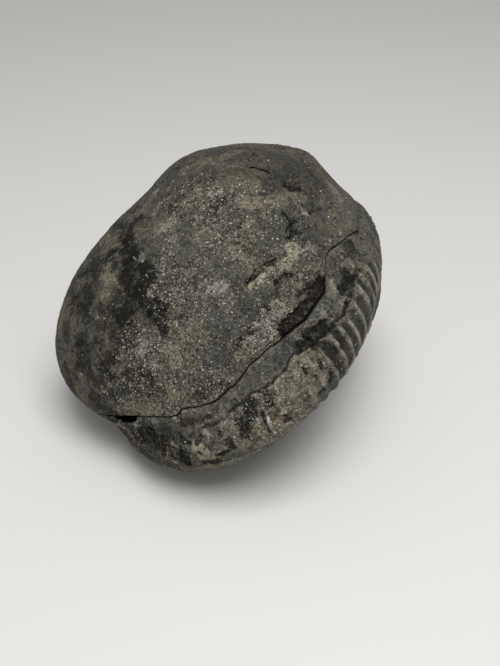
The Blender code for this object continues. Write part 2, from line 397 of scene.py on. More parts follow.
# %% Shape both halves
LEDGE_SHARE = 0.86  # the part of the lower half's rings that lies below the ledge
RING_BUNCHING, COVER_BUNCHING = 0.35, 0.25
GAP_FROM, WEDGE_FROM = 0.75, 0.955  # how far out on the grid the crack's gap and the wedge begin
WEDGE_RINGS, FLAKE_RINGS = (0.7, 0.96), (0.7, 0.95)  # inner rings over which the two breaks run out
EDGE_STRIP, HALF_ACROSS = 0.5, 30.0  # the sheltered strip at the split's edge, and half the stone's width
RESTING_EDGE = 1.0  # millimetres above the ground where the weathering is full again
FAR_ABOVE = 9.0  # degrees above the ledge, for places inside the crack


def rings_up(side, share, around, edge):
    """How high each outer ring lies, in degrees."""
    if side > 0:
        return 90.0 + (edge - 90.0) * (share * (1.0 + COVER_BUNCHING) - COVER_BUNCHING * share**2)
    ledge = ledge_up(around)
    low = share / LEDGE_SHARE
    low = low * (1.0 + RING_BUNCHING) - RING_BUNCHING * low**2
    high = (share - LEDGE_SHARE) / (1.0 - LEDGE_SHARE)
    return np.where(share <= LEDGE_SHARE, -90.0 + (ledge + 90.0) * low, ledge + (edge - ledge) * high)


def break_off(points, side, around, up, share, rings):
    """Take the wedge or the flake off the points, and say how deep the flake is gone."""
    if side < 0:
        drop = wedge_drop(around) * smooth(*WEDGE_RINGS, rings) * smooth(WEDGE_FROM, 1.0, share)
        points[:, 2] -= drop
        return 0.0 * drop
    gone = flake_gone(around, up) * smooth(*FLAKE_RINGS, rings)
    points[:, :2] -= gone[:, None] * unit(around, 0.0 * around)[:, :2]
    return gone


def shape_half(name, side):
    """One half: side is -1 for the ammonite half and 1 for the cover half."""
    piece = flat_grid(name)
    share, around, ring = grid_places(piece)
    inside, rings = ring > 0, np.array((1.0,) + SPLIT_RINGS)[ring]
    edge = split_up(around)
    up = rings_up(side, share, around, edge)
    points = unit(around, up) * plain_reach(around, up)[:, None]
    points[:, 2] += side * read_line(SPLIT_GAP, around) / 2.0 * smooth(GAP_FROM, 1.0, share)
    points[inside] = split_face(around[inside], rings[inside], side)
    gone = break_off(points, side, around, up, share, rings)
    bare = np.where(inside, 0.0, 1.0 - smooth(1.0 - EDGE_STRIP / HALF_ACROSS, 1.0, share))
    keep(piece, "around", around)
    keep(piece, "up", up)
    keep(piece, "inner", inside)
    keep(piece, "open_face", bare * smooth(0.0, RESTING_EDGE, rested(points)[:, 2]))
    keep(piece, "above_ledge", np.where(inside, FAR_ABOVE, up - (ledge_up(around) if side < 0 else edge)))
    keep(piece, "broken", np.clip(gone / FLAKE_WALL, 0.0, 1.0))
    place(piece, points)
    print(name, "has", len(piece.data.polygons), "faces and measures", (piece.dimensions / MM)[:])
    return piece, points


ammonite, ammonite_points = shape_half("ammonite", -1.0)
cover, cover_points = shape_half("cover", 1.0)

# %% [markdown]
# ## Marks on the stone
# No real nodule is one even grey. Each mark is a stroke, as from a brush, and the strokes are listed by
# kind:
# - film: a black film that clings to the stone, whose sunken strokes are partly painted shade in pits, and
#   shade: dark mottles
# - slate: smooth, cool grey places, and tan: earthy crust, mostly between the ribs
# - crust: small cream crusts, pale: rubbed places, and along the lower rim partly painted sheen
# - white: single spots of mineral, and painted glints on the black film, and rust: single spots of mineral
# - cell: sunken cells and the feet of little ledges, whose dark is partly painted shade and partly the cells'
#   own colour
#
# A stroke says half its width in millimetres, how far it stands up (or sinks, below zero), and a few
# points in the coil's frame. What the mesh keeps is how deep inside a stroke each vertex lies. The
# paint can then tear that edge with noise much finer than the mesh, which a plain painted spot can't
# do. The side that nobody could look at when the stone was measured gets a few strokes of the same
# kinds, by guess.

# %% Strokes on the cover
COVER_MARKS = {  # by kind: half width and height in millimetres, and points
    "film": (
        (0.79, 0, ((135, 80), (150, 81.5), (167, 85.5))),
        (1.5, 0, ((-154, 87), (-81, 86), (-33, 84))),
        (0.79, 0, ((-113.5, 84), (-121, 79.5))),
        (2.11, 0, ((-40, 80), (-42, 75), (-37, 68))),
        (1.5, 0, ((-15, 76), (-14, 71), (-24, 69))),
        (1.32, 0, ((-30, 68), (-32, 63), (-28, 58), (-24, 54))),
        (1.94, 0, ((-26, 59), (-22, 56))),
        (1.67, 0, ((-46, 63), (-53, 59))),
        (0.62, 0, ((-25, 51), (-27.5, 46))),
        # The sunken film strokes from here on lie in small pits, where their black is partly film and partly
        # painted shade.
        (0.75, -0.45, ((74, 34), (73.5, 32), (73, 29.5))),
        (0.3, -0.35, ((65, 25), (67, 23.5), (68.5, 22))),
        (0.3, -0.4, ((57.5, 31.5), (59.5, 30.5), (61, 28.5))),
        (0.3, -0.2, ((66, 55.5), (65.5, 54.5))),
        (0.3, -0.2, ((-37, 39.5), (-36.5, 39))),
    ),
    "shade": (
        (1.6, 0, ((-101, 65), (-90, 64))),
        (1.3, 0, ((-108, 59), (-95, 60))),
        (1.5, 0, ((-75, 63), (-62, 62))),
        (2.6, 0, ((-57, 56), (-51, 51))),
        (1.3, 0, ((-86, 48), (-89, 45))),
        (1.3, -0.15, ((-83, 44), (-82, 41))),
        (1.2, 0, ((-88, 39), (-84, 38))),
        (1.1, -0.1, ((-71, 40), (-68, 37))),
        (1.0, 0, ((-69, 44), (-62, 44))),
        (1.4, 0, ((-48, 37), (-45, 33))),
        (1.4, 0, ((-77, 24), (-75, 21))),
        (1.0, 0, ((-81, 30), (-78, 28))),
        (1.2, 0, ((-21, 22), (-15, 19))),
        (1.3, 0, ((-27, 21), (-21, 19))),
        (0.8, -0.15, ((78, 73), (80, 71))),
        (0.9, 0, ((60, 58), (66, 55))),
    ),
    "slate": (
        (1.3, 0, ((57, 69), (53, 67))),
        (1.3, 0, ((38, 68), (26, 64))),
        (2.4, 0, ((87, 37), (85, 28), (81, 24))),
        (1.5, 0, ((77, 36), (79, 31))),
        (1.5, 0, ((62, 37), (59, 34))),
        (1.8, 0, ((47, 38), (51, 34))),
        (1.6, 0, ((57, 25), (57, 21))),
        (1.8, 0, ((16, 34), (15, 30))),
        (2.2, 0, ((1, 39), (3, 31))),
        (2.0, 0, ((-15, 29), (-7, 29))),
        (1.6, 0, ((20, 40), (23, 30))),
        (1.6, 0, ((69, 25), (67, 21))),
        (1.6, 0, ((31, 51), (27, 45), (26, 39))),
        (1.4, 0, ((55, 40), (57, 37))),
    ),
    "tan": (
        (1.3, 0, ((97, 63), (93, 60), (92, 56))),
        (1.0, 0, ((89, 52), (91, 46))),
        (1.7, 0, ((-96, 75), (-72, 72), (-72, 67))),
        (0.9, 0.1, ((-25, 63), (-24, 61))),
        (1.0, 0, ((-69, 49), (-69, 45))),
        (1.4, 0, ((-115, 52), (-112, 47))),
        (1.3, 0, ((66, 49), (64, 41), (67, 35))),
        (1.5, 0, ((70, 33), (70, 29))),
        (1.5, 0, ((74, 50), (71, 44))),
        (1.3, 0, ((85, 16), (79, 14))),
        (1.2, 0, ((-27, 41), (-29, 34))),
        (1.0, 0, ((-36, 29), (-37, 24))),
        (1.2, 0, ((-63, 25), (-55, 22), (-47, 22))),
        (0.9, 0.1, ((23, 37), (29, 35), (35, 33))),
        (0.9, 0, ((6, 18), (11, 17))),
        (0.7, 0, ((-12, 19), (-11, 18))),
    ),
    "crust": (
        (1.25, 0.3, ((49, 28), (46, 27))),
        (0.8, 0.25, ((42, 27), (39, 28))),
        (0.6, 0.2, ((43, 29), (40.5, 30))),
        (0.25, 0.1, ((66.5, 30), (65.5, 28.5), (64, 26.5))),
        (0.2, 0.1, ((-58.5, 71), (-55, 70))),
        (0.3, 0.15, ((16.5, 24.5), (16, 22.5))),
        (0.3, 0.1, ((21.5, 25.5), (24.5, 25))),
        (0.4, 0.15, ((24, 36), (27.5, 35), (32, 33.5))),
    ),
    "pale": (
        (0.7, 0, ((102.5, 69.5), (101.5, 67))),
        (0.6, 0, ((123, 70.5), (121, 69.5))),
        (0.6, 0, ((96.5, 78), (102, 74.5))),
        (1.0, 0, ((58, 77), (60, 72))),
        (0.8, 0, ((75, 64), (75, 62))),
        (0.9, 0, ((71, 58), (69, 56))),
        (1.5, 0.1, ((12, 24), (14, 20))),
        (0.8, 0, ((3, 24), (7, 22))),
        (0.9, 0, ((23, 22), (20, 23))),
        (0.8, 0, ((-43, 49), (-38, 46))),
        (1.3, 0, ((-46, 45), (-40, 40))),
        (1.1, 0, ((13, 47), (18, 45))),
        (0.4, 0, ((-40.5, 69.5), (-28.5, 71.5))),
        (0.2, 0.05, ((88, 55), (83, 51), (80.5, 48))),
        (0.35, 0.05, ((-6.5, 80), (-14, 78.5))),
        (0.3, 0.05, ((-29, 80), (-24, 80))),
        (0.8, 0, ((49, 26), (53, 21))),
    ),
    "white": (
        # These white strokes on the black film are painted glints: highlights off its smoother surface.
        (0.13, 0.05, ((-30.5, 81.5), (-25.5, 80))),
        (0.18, 0.05, ((-12, 80.5), (-12, 78))),
        (0.1, 0.05, ((-28.5, 71.5), (-36, 70.5))),
        (0.12, 0.05, ((-18, 71), (-16.5, 71))),
    ),
    "cell": (
        # These thin, deep cell lines on the cover are the feet of little ledges and pits, painted dark as
        # their shade.
        (0.5, -1.0, ((33, 28.5), (35, 27.5), (37, 26.5), (38, 24.5))),
        (0.4, -0.9, ((32.5, 28.5), (26.5, 26))),
        (0.45, -0.7, ((-1, 25.5), (1.5, 27), (4.5, 26), (10, 24.5))),
        (0.4, -0.6, ((31, 19), (34.5, 18), (38, 17.5))),
        (0.35, -0.5, ((17.5, 29.5), (19.5, 28.5), (20, 25.5))),
        (0.45, -0.5, ((62.5, 33.5), (60.5, 31.5), (60, 30), (57.5, 30))),
        (0.5, -0.4, ((53, 30.5), (55.5, 29), (56.5, 27))),
        (0.5, -0.7, ((24.5, 38), (27.5, 37.5), (30, 36.5))),
        (0.25, -0.5, ((30, 36.5), (34.5, 35), (38.5, 34), (42.5, 32.5))),
    ),
}
COVER_BACK_MARKS = {  # by guess
    "film": (
        (1.2, -0.1, ((168, 22), (176, 19), (182, 20))),
    ),
    "shade": (
        (1.8, 0, ((135, 22), (146, 18))),
        (1.5, 0, ((175, 40), (188, 44))),
    ),
    "slate": (
        (2.0, 0, ((160, 50), (172, 46))),
        (1.8, 0, ((205, 35), (214, 42))),
    ),
    "tan": (
        (1.5, 0.1, ((118, 38), (126, 44), (131, 50))),
        (1.2, 0, ((150, 24), (158, 28))),
    ),
    "crust": (
        (0.6, 0.15, ((142, 36), (148, 38))),
        (0.4, 0.15, ((196, 28), (199, 31))),
    ),
    "pale": (
        (0.8, 0, ((128, 30), (133, 27))),
        (0.7, 0, ((190, 22), (194, 18))),
    ),
    "cell": (
        (0.35, -0.5, ((108, 30), (113, 27), (119, 27.5), (124, 25))),
        (0.3, -0.4, ((155, 40), (159, 36), (165, 35))),
    ),
}
COVER_CRACKS = (  # how far the low side drops, in millimetres, and points
    (0.25, ((79, 45.5), (79, 43.5), (78.5, 41.5), (78, 40), (76.5, 39))),
    (0.45, ((42.5, 32), (40.5, 34), (36.5, 36), (33.5, 37.5), (29, 38), (24.5, 38))),
    (0.3, ((60, 28), (60.5, 29), (59.5, 30.5), (56.5, 31.5), (54.5, 31.5))),
    (0.25, ((60, 24), (59, 25), (57.5, 26.5))),
    (0.35, ((5, 18), (8.5, 18), (11.5, 17))),
    (0.15, ((63, 11), (61.5, 13.5))),
    (0.2, ((-85.5, 23), (-83.5, 22))),
    (0.2, ((-10, 65.5), (-17, 67.5), (-24.5, 67))),
)
cover_strokes = sum(len(strokes) for strokes in COVER_MARKS.values())
print(cover_strokes, "strokes and", len(COVER_CRACKS), "hairline cracks on the cover")

# %% [markdown]
# ## Marks on the ammonite half
# The lower half has the richest surface: tan crust and dark cells between the worn ribs at the front,
# pale lips where the skin of the shell ends, one long white streak of mineral, and one rust spot beside
# it. The cells' dark is partly painted shade, and the long pale line along the lower rim is partly
# painted sheen.

# %% Strokes on the ammonite half
AMMONITE_MARKS = {
    "film": (
        # These sunken film strokes lie in hollows in the bare strip, where their black is partly film and
        # partly painted shade.
        (1.4, -0.8, ((20, 10), (23, 8), (26, 7))),
        (0.9, -0.6, ((13, 10), (15, 10), (18, 9))),
        (1.0, -0.6, ((50, 6), (47, 6), (42, 7))),
    ),
    "shade": (
        (1.2, 0, ((-39, 15), (-34, 13), (-29, 12))),
        (1.5, 0, ((60, 9), (59, 6))),
    ),
    "slate": (
        (1.7, 0, ((2, 13), (7, 13), (12, 12))),
        (1.6, 0, ((-10, 13), (-4, 13))),
        (1.5, 0, ((51, 13), (43, 10))),
    ),
    "tan": (
        (2.2, 0.2, ((6, 7), (10, 7), (14, 6))),
        (2.6, 0.25, ((2, 5), (6, 2), (12, 0))),
        (2.8, 0.25, ((-2, 1), (2, -1), (6, -1))),
        (2.3, 0.2, ((-13, 0), (-11, -3), (-6, -6))),
        (1.6, 0.15, ((-22, -1), (-17, -1), (-17, -4))),
        (1.0, 0.15, ((-7, 7), (-8, 5))),
        (1.0, 0.1, ((-3, 5), (-6, 4))),
        (1.0, 0.1, ((40, 3), (36, 5))),
        (0.9, 0.1, ((73, 11), (71, 9), (69, 7))),
        (0.9, 0.1, ((58, 4), (56, 1), (52, -2))),
        (1.0, 0, ((-74, 13), (-74, 9))),
        (0.8, 0, ((-21, 7), (-20, 5))),
    ),
    "crust": (
        (0.8, 0.15, ((43, 2), (44, -1), (44, -3))),
        (1.5, 0.3, ((-36, 6), (-36, 4), (-35, 1))),
        (0.6, 0.2, ((-52.5, 5), (-50.5, 3.5), (-49.5, 1))),
        (0.3, 0.2, ((-61.5, 17.5), (-65.5, 15))),
        (0.35, 0.2, ((-22.5, 2), (-22, 0))),
        (0.3, 0.2, ((-26.5, 4.5), (-24.5, 5))),
        (0.4, 0.15, ((-46.5, 9.5), (-44.5, 8))),
        (0.35, 0.1, ((-29.5, 9.5), (-29.5, 7.5))),
        (0.9, 0.3, ((-76, 16), (-78, 13))),
        (0.3, 0.2, ((-62.5, 16.5), (-62.5, 14.5), (-58.5, 14.5))),
        (0.3, 0.2, ((-56.5, 16), (-54, 14.5), (-50.5, 14.5))),
        (0.25, 0.15, ((-67, 13), (-69, 10.5), (-69, 8))),
        (0.35, 0.15, ((54, 6.5), (53, 5))),
        (0.3, 0.15, ((51, 2), (49, 0))),
        (0.3, 0.1, ((66, 10.5), (65.5, 9))),
        (0.4, 0.15, ((-42.5, 17), (-40, 15))),
        (0.35, 0.15, ((-55.5, 8), (-55, 6))),
        (0.3, 0.15, ((-19, 9), (-17, 9))),
        (0.45, 0.2, ((-61.5, -0.5), (-58.5, -3.5), (-55, -7))),
        (0.25, 0.2, ((-55, -7), (-45, -8), (-36, -7))),
        (0.25, 0.2, ((-36, -7), (-28, -7.5), (-19, -8), (-12, -8.5))),
        (0.25, 0.1, ((-5.5, 1.5), (-4, 1), (-4, -1))),
        (0.2, 0.1, ((-3, 2), (-2, 1.5))),
    ),
    "pale": (
        (0.6, 0, ((42.5, 11.5), (38.5, 9))),
        (0.5, 0, ((32, 11), (28.5, 8.5))),
        (0.3, 0.1, ((3, 11), (3.5, 9.5))),
        (0.8, 0, ((-33, 11), (-29, 11))),
        (0.6, 0, ((-23, 9), (-20, 8.5))),
        (0.3, 0.1, ((-58.5, 10.5), (-56, 6), (-52.5, 3.5))),
        (0.25, 0.1, ((-37, 8.5), (-36.5, 6))),
        (0.25, 0.1, ((-32, 1.5), (-28.5, 2), (-27.5, 0))),
        (0.35, 0.1, ((-66, 14.5), (-63.5, 17.5), (-59, 19))),
        (0.3, 0.1, ((-37, 18), (-34, 18), (-31.5, 16.5))),
        (0.3, 0.2, ((-40.5, 1), (-43.5, -4))),
        (0.6, 0.1, ((-55, 18), (-52, 16))),
        (0.35, 0.1, ((-8, 9.5), (-6.5, 10.5), (-4.5, 10))),
        # This long pale line along the lower rim is partly the lip's own pale edge and partly painted sheen.
        (0.35, 0.1, ((-52, -4.5), (-41.5, -4.5), (-31, -5.5), (-19, -8), (-8.5, -8.5), (4, -6.5))),
    ),
    "white": (
        (0.3, 0.4, ((-9, 3), (-10.5, 0), (-11.5, -3.5))),
    ),
    "rust": (
        (0.35, 0.05, ((-7.5, 1.5), (-7.5, 0.5))),
    ),
    "cell": (
        (2.0, -0.3, ((-62, 12), (-56, 11), (-53, 9))),
        (0.9, -0.3, ((-53, 8), (-53, 6))),
        (1.2, -0.2, ((18, 7), (19, 4), (20, 0))),
        (0.8, -0.2, ((15, -3), (18, -3))),
        (0.35, -0.3, ((-36.5, 3.5), (-36.5, 3))),
        (0.7, -0.3, ((-32, 0), (-28.5, -0.5))),
        (0.6, -0.3, ((-41.5, 10), (-39, 8))),
        (0.5, -0.3, ((-33, 8.5), (-35, 7))),
        (0.5, -0.3, ((63, 8.5), (62, 5.5))),
        (0.35, -0.3, ((56, 10.5), (55.5, 8.5))),
        (1.1, -0.35, ((-4, 8), (-6, 6))),
        (1.3, -0.35, ((-11, 9), (-13, 6))),
        (1.1, -0.3, ((-17, 4), (-19, 2))),
        (1.0, -0.3, ((-25, 3), (-26, 0))),
        (1.1, -0.3, ((-38, -2), (-35, -3))),
        (1.2, -0.2, ((-43, 5), (-46, 0))),
        (0.55, -0.5, ((-9.5, 4.5), (-10.5, 1.5), (-12, -2.5))),
        (0.55, -0.4, ((-5, -0.5), (-6, -3.5))),
        (0.45, -0.5, ((9.5, 5.5), (9, 4))),
        (0.6, -0.4, ((14.5, 2.5), (13.5, 1))),
        (0.35, -0.3, ((9.5, 2), (11, 0.5), (10, -2))),
        (0.6, -0.4, ((7, -5.5), (9, -6))),
        (1.1, -0.3, ((20, 3), (20, 0))),
        (0.9, -0.3, ((25, 3), (24, -1))),
        (0.6, -0.2, ((19, -5), (19, -6.5))),
        (0.6, -0.2, ((12, -5), (13.5, -5))),
        (0.6, -0.3, ((-18.5, 7), (-17, 7))),
        (0.4, -0.3, ((-36.5, 4), (-36, 3))),
        (0.4, -0.2, ((-25.5, 7.5), (-26, 6))),
    ),
}
AMMONITE_BACK_MARKS = {  # by guess
    "film": (
        (1.6, 0, ((210, -10), (222, -16))),
    ),
    "shade": (
        (1.8, 0, ((160, -20), (172, -26))),
    ),
    "slate": (
        (2.0, 0, ((128, -30), (142, -34))),
    ),
    "tan": (
        (1.8, 0.2, ((92, -4), (100, -10))),
        (2.0, 0.2, ((118, -8), (130, -14))),
        (1.4, 0.1, ((175, -6), (186, -12))),
        (1.3, 0.1, ((240, -12), (252, -16))),
    ),
    "crust": (
        (0.7, 0.2, ((108, -18), (112, -22))),
        (0.5, 0.2, ((150, -10), (155, -9))),
        (0.35, 0.15, ((228, -4), (235, -8))),
    ),
    "pale": (
        (0.5, 0.1, ((98, -20), (104, -26))),
        (0.7, 0, ((180, -22), (188, -20))),
    ),
    "cell": (
        (1.1, -0.3, ((84, -8), (86, -14))),
        (1.2, -0.3, ((140, -6), (143, -13))),
        (0.9, -0.3, ((196, -4), (202, -8))),
        (0.8, -0.3, ((262, -6), (268, -12))),
    ),
}
AMMONITE_CRACKS = (
    (0.2, ((78.5, 7.5), (76.5, 7), (74.5, 6))),
    (0.2, ((47.5, 9), (51.5, 7.5))),
)
ammonite_strokes = sum(len(strokes) for strokes in AMMONITE_MARKS.values())
print(ammonite_strokes, "strokes and", len(AMMONITE_CRACKS), "hairline cracks on the ammonite half")

# %% [markdown]
# ## Broad effects
# Some things fill whole stretches of the stone rather than a stroke: grainy places strewn with mineral,
# dusky places blotched with black, scaly places whose skin has flaked, and dull olive places. Each is a
# handful of lines, and an effect is full near any of its lines and fades further off. The ribs are worn
# by turns: one more line says how much of them is left round the rim.

# %% Broad places and worn ribs
COVER_BROAD = {
    "grainy": (
        ((70, 66), (61, 57), (62, 49), (60, 41)),
        ((48, 68), (40, 56), (45, 45), (43, 35)),
        ((15, 65), (21, 55), (31, 43)),
        ((-8, 60), (1, 51), (12, 41)),
        ((-22, 50), (-22, 41), (-33, 32), (-41, 25)),
        ((-42, 47), (-45, 40), (-48, 29), (-64, 27)),
        ((1, 31), (10, 25), (18, 22)),
        ((-16, 35), (-21, 26)),
        ((52, 29), (42, 29), (33, 32)),
        ((120, 30), (150, 35)),
        ((185, 25), (205, 40)),
    ),
    "dusky": (
        ((155, 77), (-153, 86), (-80, 80)),
        ((-45, 66), (-55, 57), (-58, 49), (-50, 35)),
        ((-103, 62), (-82, 52), (-84, 38), (-78, 27)),
        ((-72, 46), (-69, 34)),
        ((-99, 43), (-95, 32)),
        ((-119, 74), (-111, 64)),
        ((140, 20), (165, 15)),
        ((215, 30), (225, 15)),
    ),
    "dull": (
        ((97, 60), (92, 52), (87, 40), (86, 27)),
        ((90, 66), (78, 53), (75, 41), (78, 27)),
    ),
    "scaly": (
        ((39, 36), (27, 37), (22, 30)),
        ((59, 33), (47, 32), (37, 27)),
        ((63, 28), (60, 21), (47, 20)),
        ((1, 25), (11, 23), (27, 23)),
        ((80, 29), (73, 24)),
        ((78, 43), (76, 38)),
        ((-10, 66), (-25, 62)),
        ((-39, 86), (-25, 73)),
        ((100, 25), (115, 20)),
        ((170, 30), (180, 25)),
    ),
}
AMMONITE_BROAD = {
    "dull": (
        ((-59, -6), (-48, -8)),
    ),
    "grainy": (
        ((5, 3), (-3, 2), (-13, -1)),
        ((110, -15), (130, -30)),
        ((240, -35), (260, -20)),
    ),
    "dusky": (
        ((-80, 10), (-62, 10), (-50, 9)),
        ((160, -15), (180, -30)),
    ),
    "scaly": (
        ((42, 10), (47, 8), (54, 7)),
        ((16, 9), (24, 7)),
        ((-72, 13), (-52, 10), (-33, 9)),
        ((-13, 6), (2, 4), (13, 3)),
        ((90, -10), (100, -25)),
        ((220, -15), (240, -10)),
    ),
}
RIB_WEAR = (
    (-60.0, 0.1), (-20.0, 0.15), (-5.0, 0.3), (5.0, 0.45), (13.0, 0.65), (24.0, 0.95), (45.0, 0.95),
    (60.0, 0.75), (72.0, 0.5), (95.0, 0.4), (150.0, 0.5),
)
print("broad effects on the cover:", ", ".join(COVER_BROAD))

# %% [markdown]
# ## How deep inside a stroke a vertex lies
# A stroke is a run of straight steps over the stone. For each vertex the nearest step gives the
# distance, the side that the vertex lies on, and how far along the stroke it is. The vertices are first
# nudged about by noise, so that the strokes wander as stains do. Every kind of stroke becomes one
# stored number, the relief of all strokes another, and the hairline cracks a third.

# %% Measure from each vertex to a line
def on_form(line):
    """Points of a stroke on the stone's surface, in millimetres."""
    turns, rises = np.array(line).T
    return unit(turns, rises) * plain_reach(turns, rises)[:, None]


def measure_line(places, line):
    """How far each place lies from a line, signed by its side, and how far along the line that is."""
    knots = on_form(line)
    lengths = np.append(0.0, np.cumsum(np.linalg.norm(np.diff(knots, axis=0), axis=1)))
    nearest = np.full(len(places), np.inf)
    signed, along = np.copy(nearest), np.zeros(len(places))
    for start, end, before in zip(knots[:-1], knots[1:], lengths[:-1]):
        run = end - start
        share = np.clip((places - start) @ run / max(run @ run, TINY), 0.0, 1.0)
        gap = places - start - share[:, None] * run
        distance = np.linalg.norm(gap, axis=1)
        closer = distance < nearest
        side = np.sign(gap @ np.cross(run, start))
        nearest = np.where(closer, distance, nearest)
        signed = np.where(closer, distance * np.where(side == 0.0, 1.0, side), signed)
        along = np.where(closer, before + share * np.linalg.norm(run), along)
    return signed, along / max(lengths[-1], TINY)


first_stroke = on_form(COVER_MARKS["film"][0][2])
print("the first stroke starts", np.linalg.norm(first_stroke[0]).round(1), "mm from the coil's centre")

# %% [markdown]
# ## Fields of strokes
# One function does the strokes of every kind and adds up their relief. Cracks need more: their low side
# drops sharply at the line and climbs back slowly, as a flake's edge does, and both ends run out to
# nothing.

# %% Fields of strokes, cracks and broad places
MARK_KINDS = ("film", "shade", "slate", "tan", "crust", "pale", "white", "rust", "cell")
MARK_DEPTH = 2.0  # how far, in millimetres, a stroke is still felt
RELIEF_EDGE = 0.35  # half the width of a stroke's slope, in millimetres
STROKE_WANDER, CRACK_WANDER, WANDER_SIZE = 0.5, 0.2, 1.7
WANDER_PATTERNS = (2.1, 5.9, 8.3)
CRACK_ENDS = 0.12  # the share of a crack's length over which each end runs out
CRACK_FAR, CRACK_NEAR = 0.9, 0.5  # millimetres within which a crack starts to be felt and is full
CRACK_LIP = (-0.1, 0.2)  # millimetres across a crack over which its low side drops
CRACK_RUN = 2.2  # millimetres over which the low side of a crack climbs back
BROAD_FAR, BROAD_NEAR = 8.0, 2.5  # the same for a broad effect


def stroke_fields(places, *lists):
    """How deep each place lies inside each kind of stroke, and how high the strokes lift it."""
    fields = {kind: np.full(len(places), -MARK_DEPTH) for kind in MARK_KINDS}
    relief = np.zeros(len(places))
    for marks in lists:
        for kind, strokes in marks.items():
            for half_width, height, line in strokes:
                inside = half_width - np.abs(measure_line(places, line)[0])
                fields[kind] = np.maximum(fields[kind], np.minimum(inside, MARK_DEPTH))
                relief += height * smooth(-RELIEF_EDGE, RELIEF_EDGE, inside)
    return fields, relief


def crack_fields(places, cracks):
    """How far each place lies from a hairline crack, how much of one is there, and how low it lies."""
    crack, here_most = np.full(len(places), MARK_DEPTH), np.zeros(len(places))
    sunken = np.zeros(len(places))
    for height, line in cracks:
        signed, along = measure_line(places, line)
        here = smooth(0.0, CRACK_ENDS, along) * smooth(1.0, 1.0 - CRACK_ENDS, along)
        near = (np.abs(signed) < np.abs(crack)) & (here > 0.0)
        crack = np.where(near, signed, crack)
        here_most = np.where(near, here * smooth(CRACK_FAR, CRACK_NEAR, np.abs(signed)), here_most)
        sunken += height * here * smooth(*CRACK_LIP, signed) * np.exp(-np.maximum(signed, 0.0) / CRACK_RUN)
    return {"crack": crack, "crack_here": here_most}, sunken


def broad_field(places, lines):
    """1 near any of the lines, fading to 0 further off."""
    distance = np.min([np.abs(measure_line(places, line)[0]) for line in lines], axis=0)
    return smooth(BROAD_FAR, BROAD_NEAR, distance)


print("kinds of mark:", ", ".join(MARK_KINDS))

# %% [markdown]
# ## Mark the halves
# Both halves are marked by one function, each with its own lists. Every field is kept on the mesh under
# its kind's name, where the trees and the materials find it again.

# %% Mark both halves
def mark(piece, points, marks, back_marks, cracks, broad):
    """Keep every kind of mark, the hairline cracks and their relief on a piece."""
    nudge = np.column_stack([perlin(points, WANDER_SIZE, pattern) for pattern in WANDER_PATTERNS])
    fields, relief = stroke_fields(points + STROKE_WANDER * nudge, marks, back_marks)
    places = points + CRACK_WANDER * nudge
    lines, sunken = crack_fields(places, cracks)
    relief -= sunken
    broad_places = {name: broad_field(places, these) for name, these in broad.items()}
    for name, values in (fields | lines | broad_places | {"relief": relief}).items():
        keep(piece, name, values)
    print(piece.name, "relief runs from", relief.min().round(2), "to", relief.max().round(2), "mm")


mark(ammonite, ammonite_points, AMMONITE_MARKS, AMMONITE_BACK_MARKS, AMMONITE_CRACKS, AMMONITE_BROAD)
mark(cover, cover_points, COVER_MARKS, COVER_BACK_MARKS, COVER_CRACKS, COVER_BROAD)

# %% [markdown]
# ## Small helpers for node trees
# Geometry trees and shader trees are wired alike. `feed` sets a socket to a value or links it to
# another socket. `put` adds a node, sets its options and feeds its inputs. `calc` is a Math node in one
# line, so that a sum reads like a sum. `new_tree` makes a tree or a group with named inputs and
# outputs.

# %% Wire nodes with less typing
SOCKETS = {
    "float": "NodeSocketFloat", "int": "NodeSocketInt", "colour": "NodeSocketColor",
    "mesh": "NodeSocketGeometry", "material": "NodeSocketMaterial",
}


def feed(tree, socket, value):
    """Give an input socket a value, or link it to an output socket."""
    if isinstance(value, bpy.types.NodeSocket):
        tree.links.new(value, socket)
    else:
        socket.default_value = value


def put(tree, kind, inputs=None, **options):
    """Add a node with its options and inputs, which are named or numbered."""
    node = tree.nodes.new(kind)
    for name, value in options.items():
        setattr(node, name, value)
    for key, value in (inputs or {}).items():
        feed(tree, node.inputs[key], value)
    return node


def calc(tree, operation, *values):
    """The output of a Math node."""
    return put(tree, "ShaderNodeMath", dict(enumerate(values)), operation=operation).outputs[0]


def ramp(tree, value, low, high, start=0.0, end=1.0):
    """A value that runs smoothly from start to end as another runs from low to high."""
    limits = {"Value": value, "From Min": low, "From Max": high, "To Min": start, "To Max": end}
    return put(tree, "ShaderNodeMapRange", limits, interpolation_type="SMOOTHSTEP").outputs["Result"]


def new_tree(name, kind, inputs, outputs):
    """A node tree with named sockets, its input node's sockets and its output node's sockets."""
    tree = bpy.data.node_groups.new(name, kind)
    for side, sockets in (("INPUT", inputs), ("OUTPUT", outputs)):
        for label, sort in sockets.items():
            tree.interface.new_socket(label, in_out=side, socket_type=SOCKETS[sort])
    return tree, tree.nodes.new("NodeGroupInput").outputs, tree.nodes.new("NodeGroupOutput").inputs


print("kinds of socket:", ", ".join(SOCKETS))

# %% [markdown]
# ## Helpers for both kinds of noise
# A noise node counts in its own units. `scaled_position` turns metres into lumps of a wished size, and
# `shifted_position` first moves the place to another part of the noise, by a pattern number. A noise
# has a detail, how many finer noises it is made of, and a roughness, how strong those are: more of both
# looks torn.

# %% Places for noise
SOFT, WAVY, LUMPY, LAYERED = (2.0, 0.5), (3.0, 0.5), (3.0, 0.55), (2.5, 0.6)  # detail and roughness
BROAD, FINE, TORN, EVEN = (4.0, 0.6), (5.0, 0.7), (6.0, 0.72), (1.0, 0.55)


def scaled_position(tree, source, size):
    """Places in units of `size` millimetres, from places in metres."""
    per_metre = calc(tree, "DIVIDE", 1.0 / MM, size)
    return put(tree, "ShaderNodeVectorMath", {0: source, "Scale": per_metre}, operation="SCALE").outputs[0]


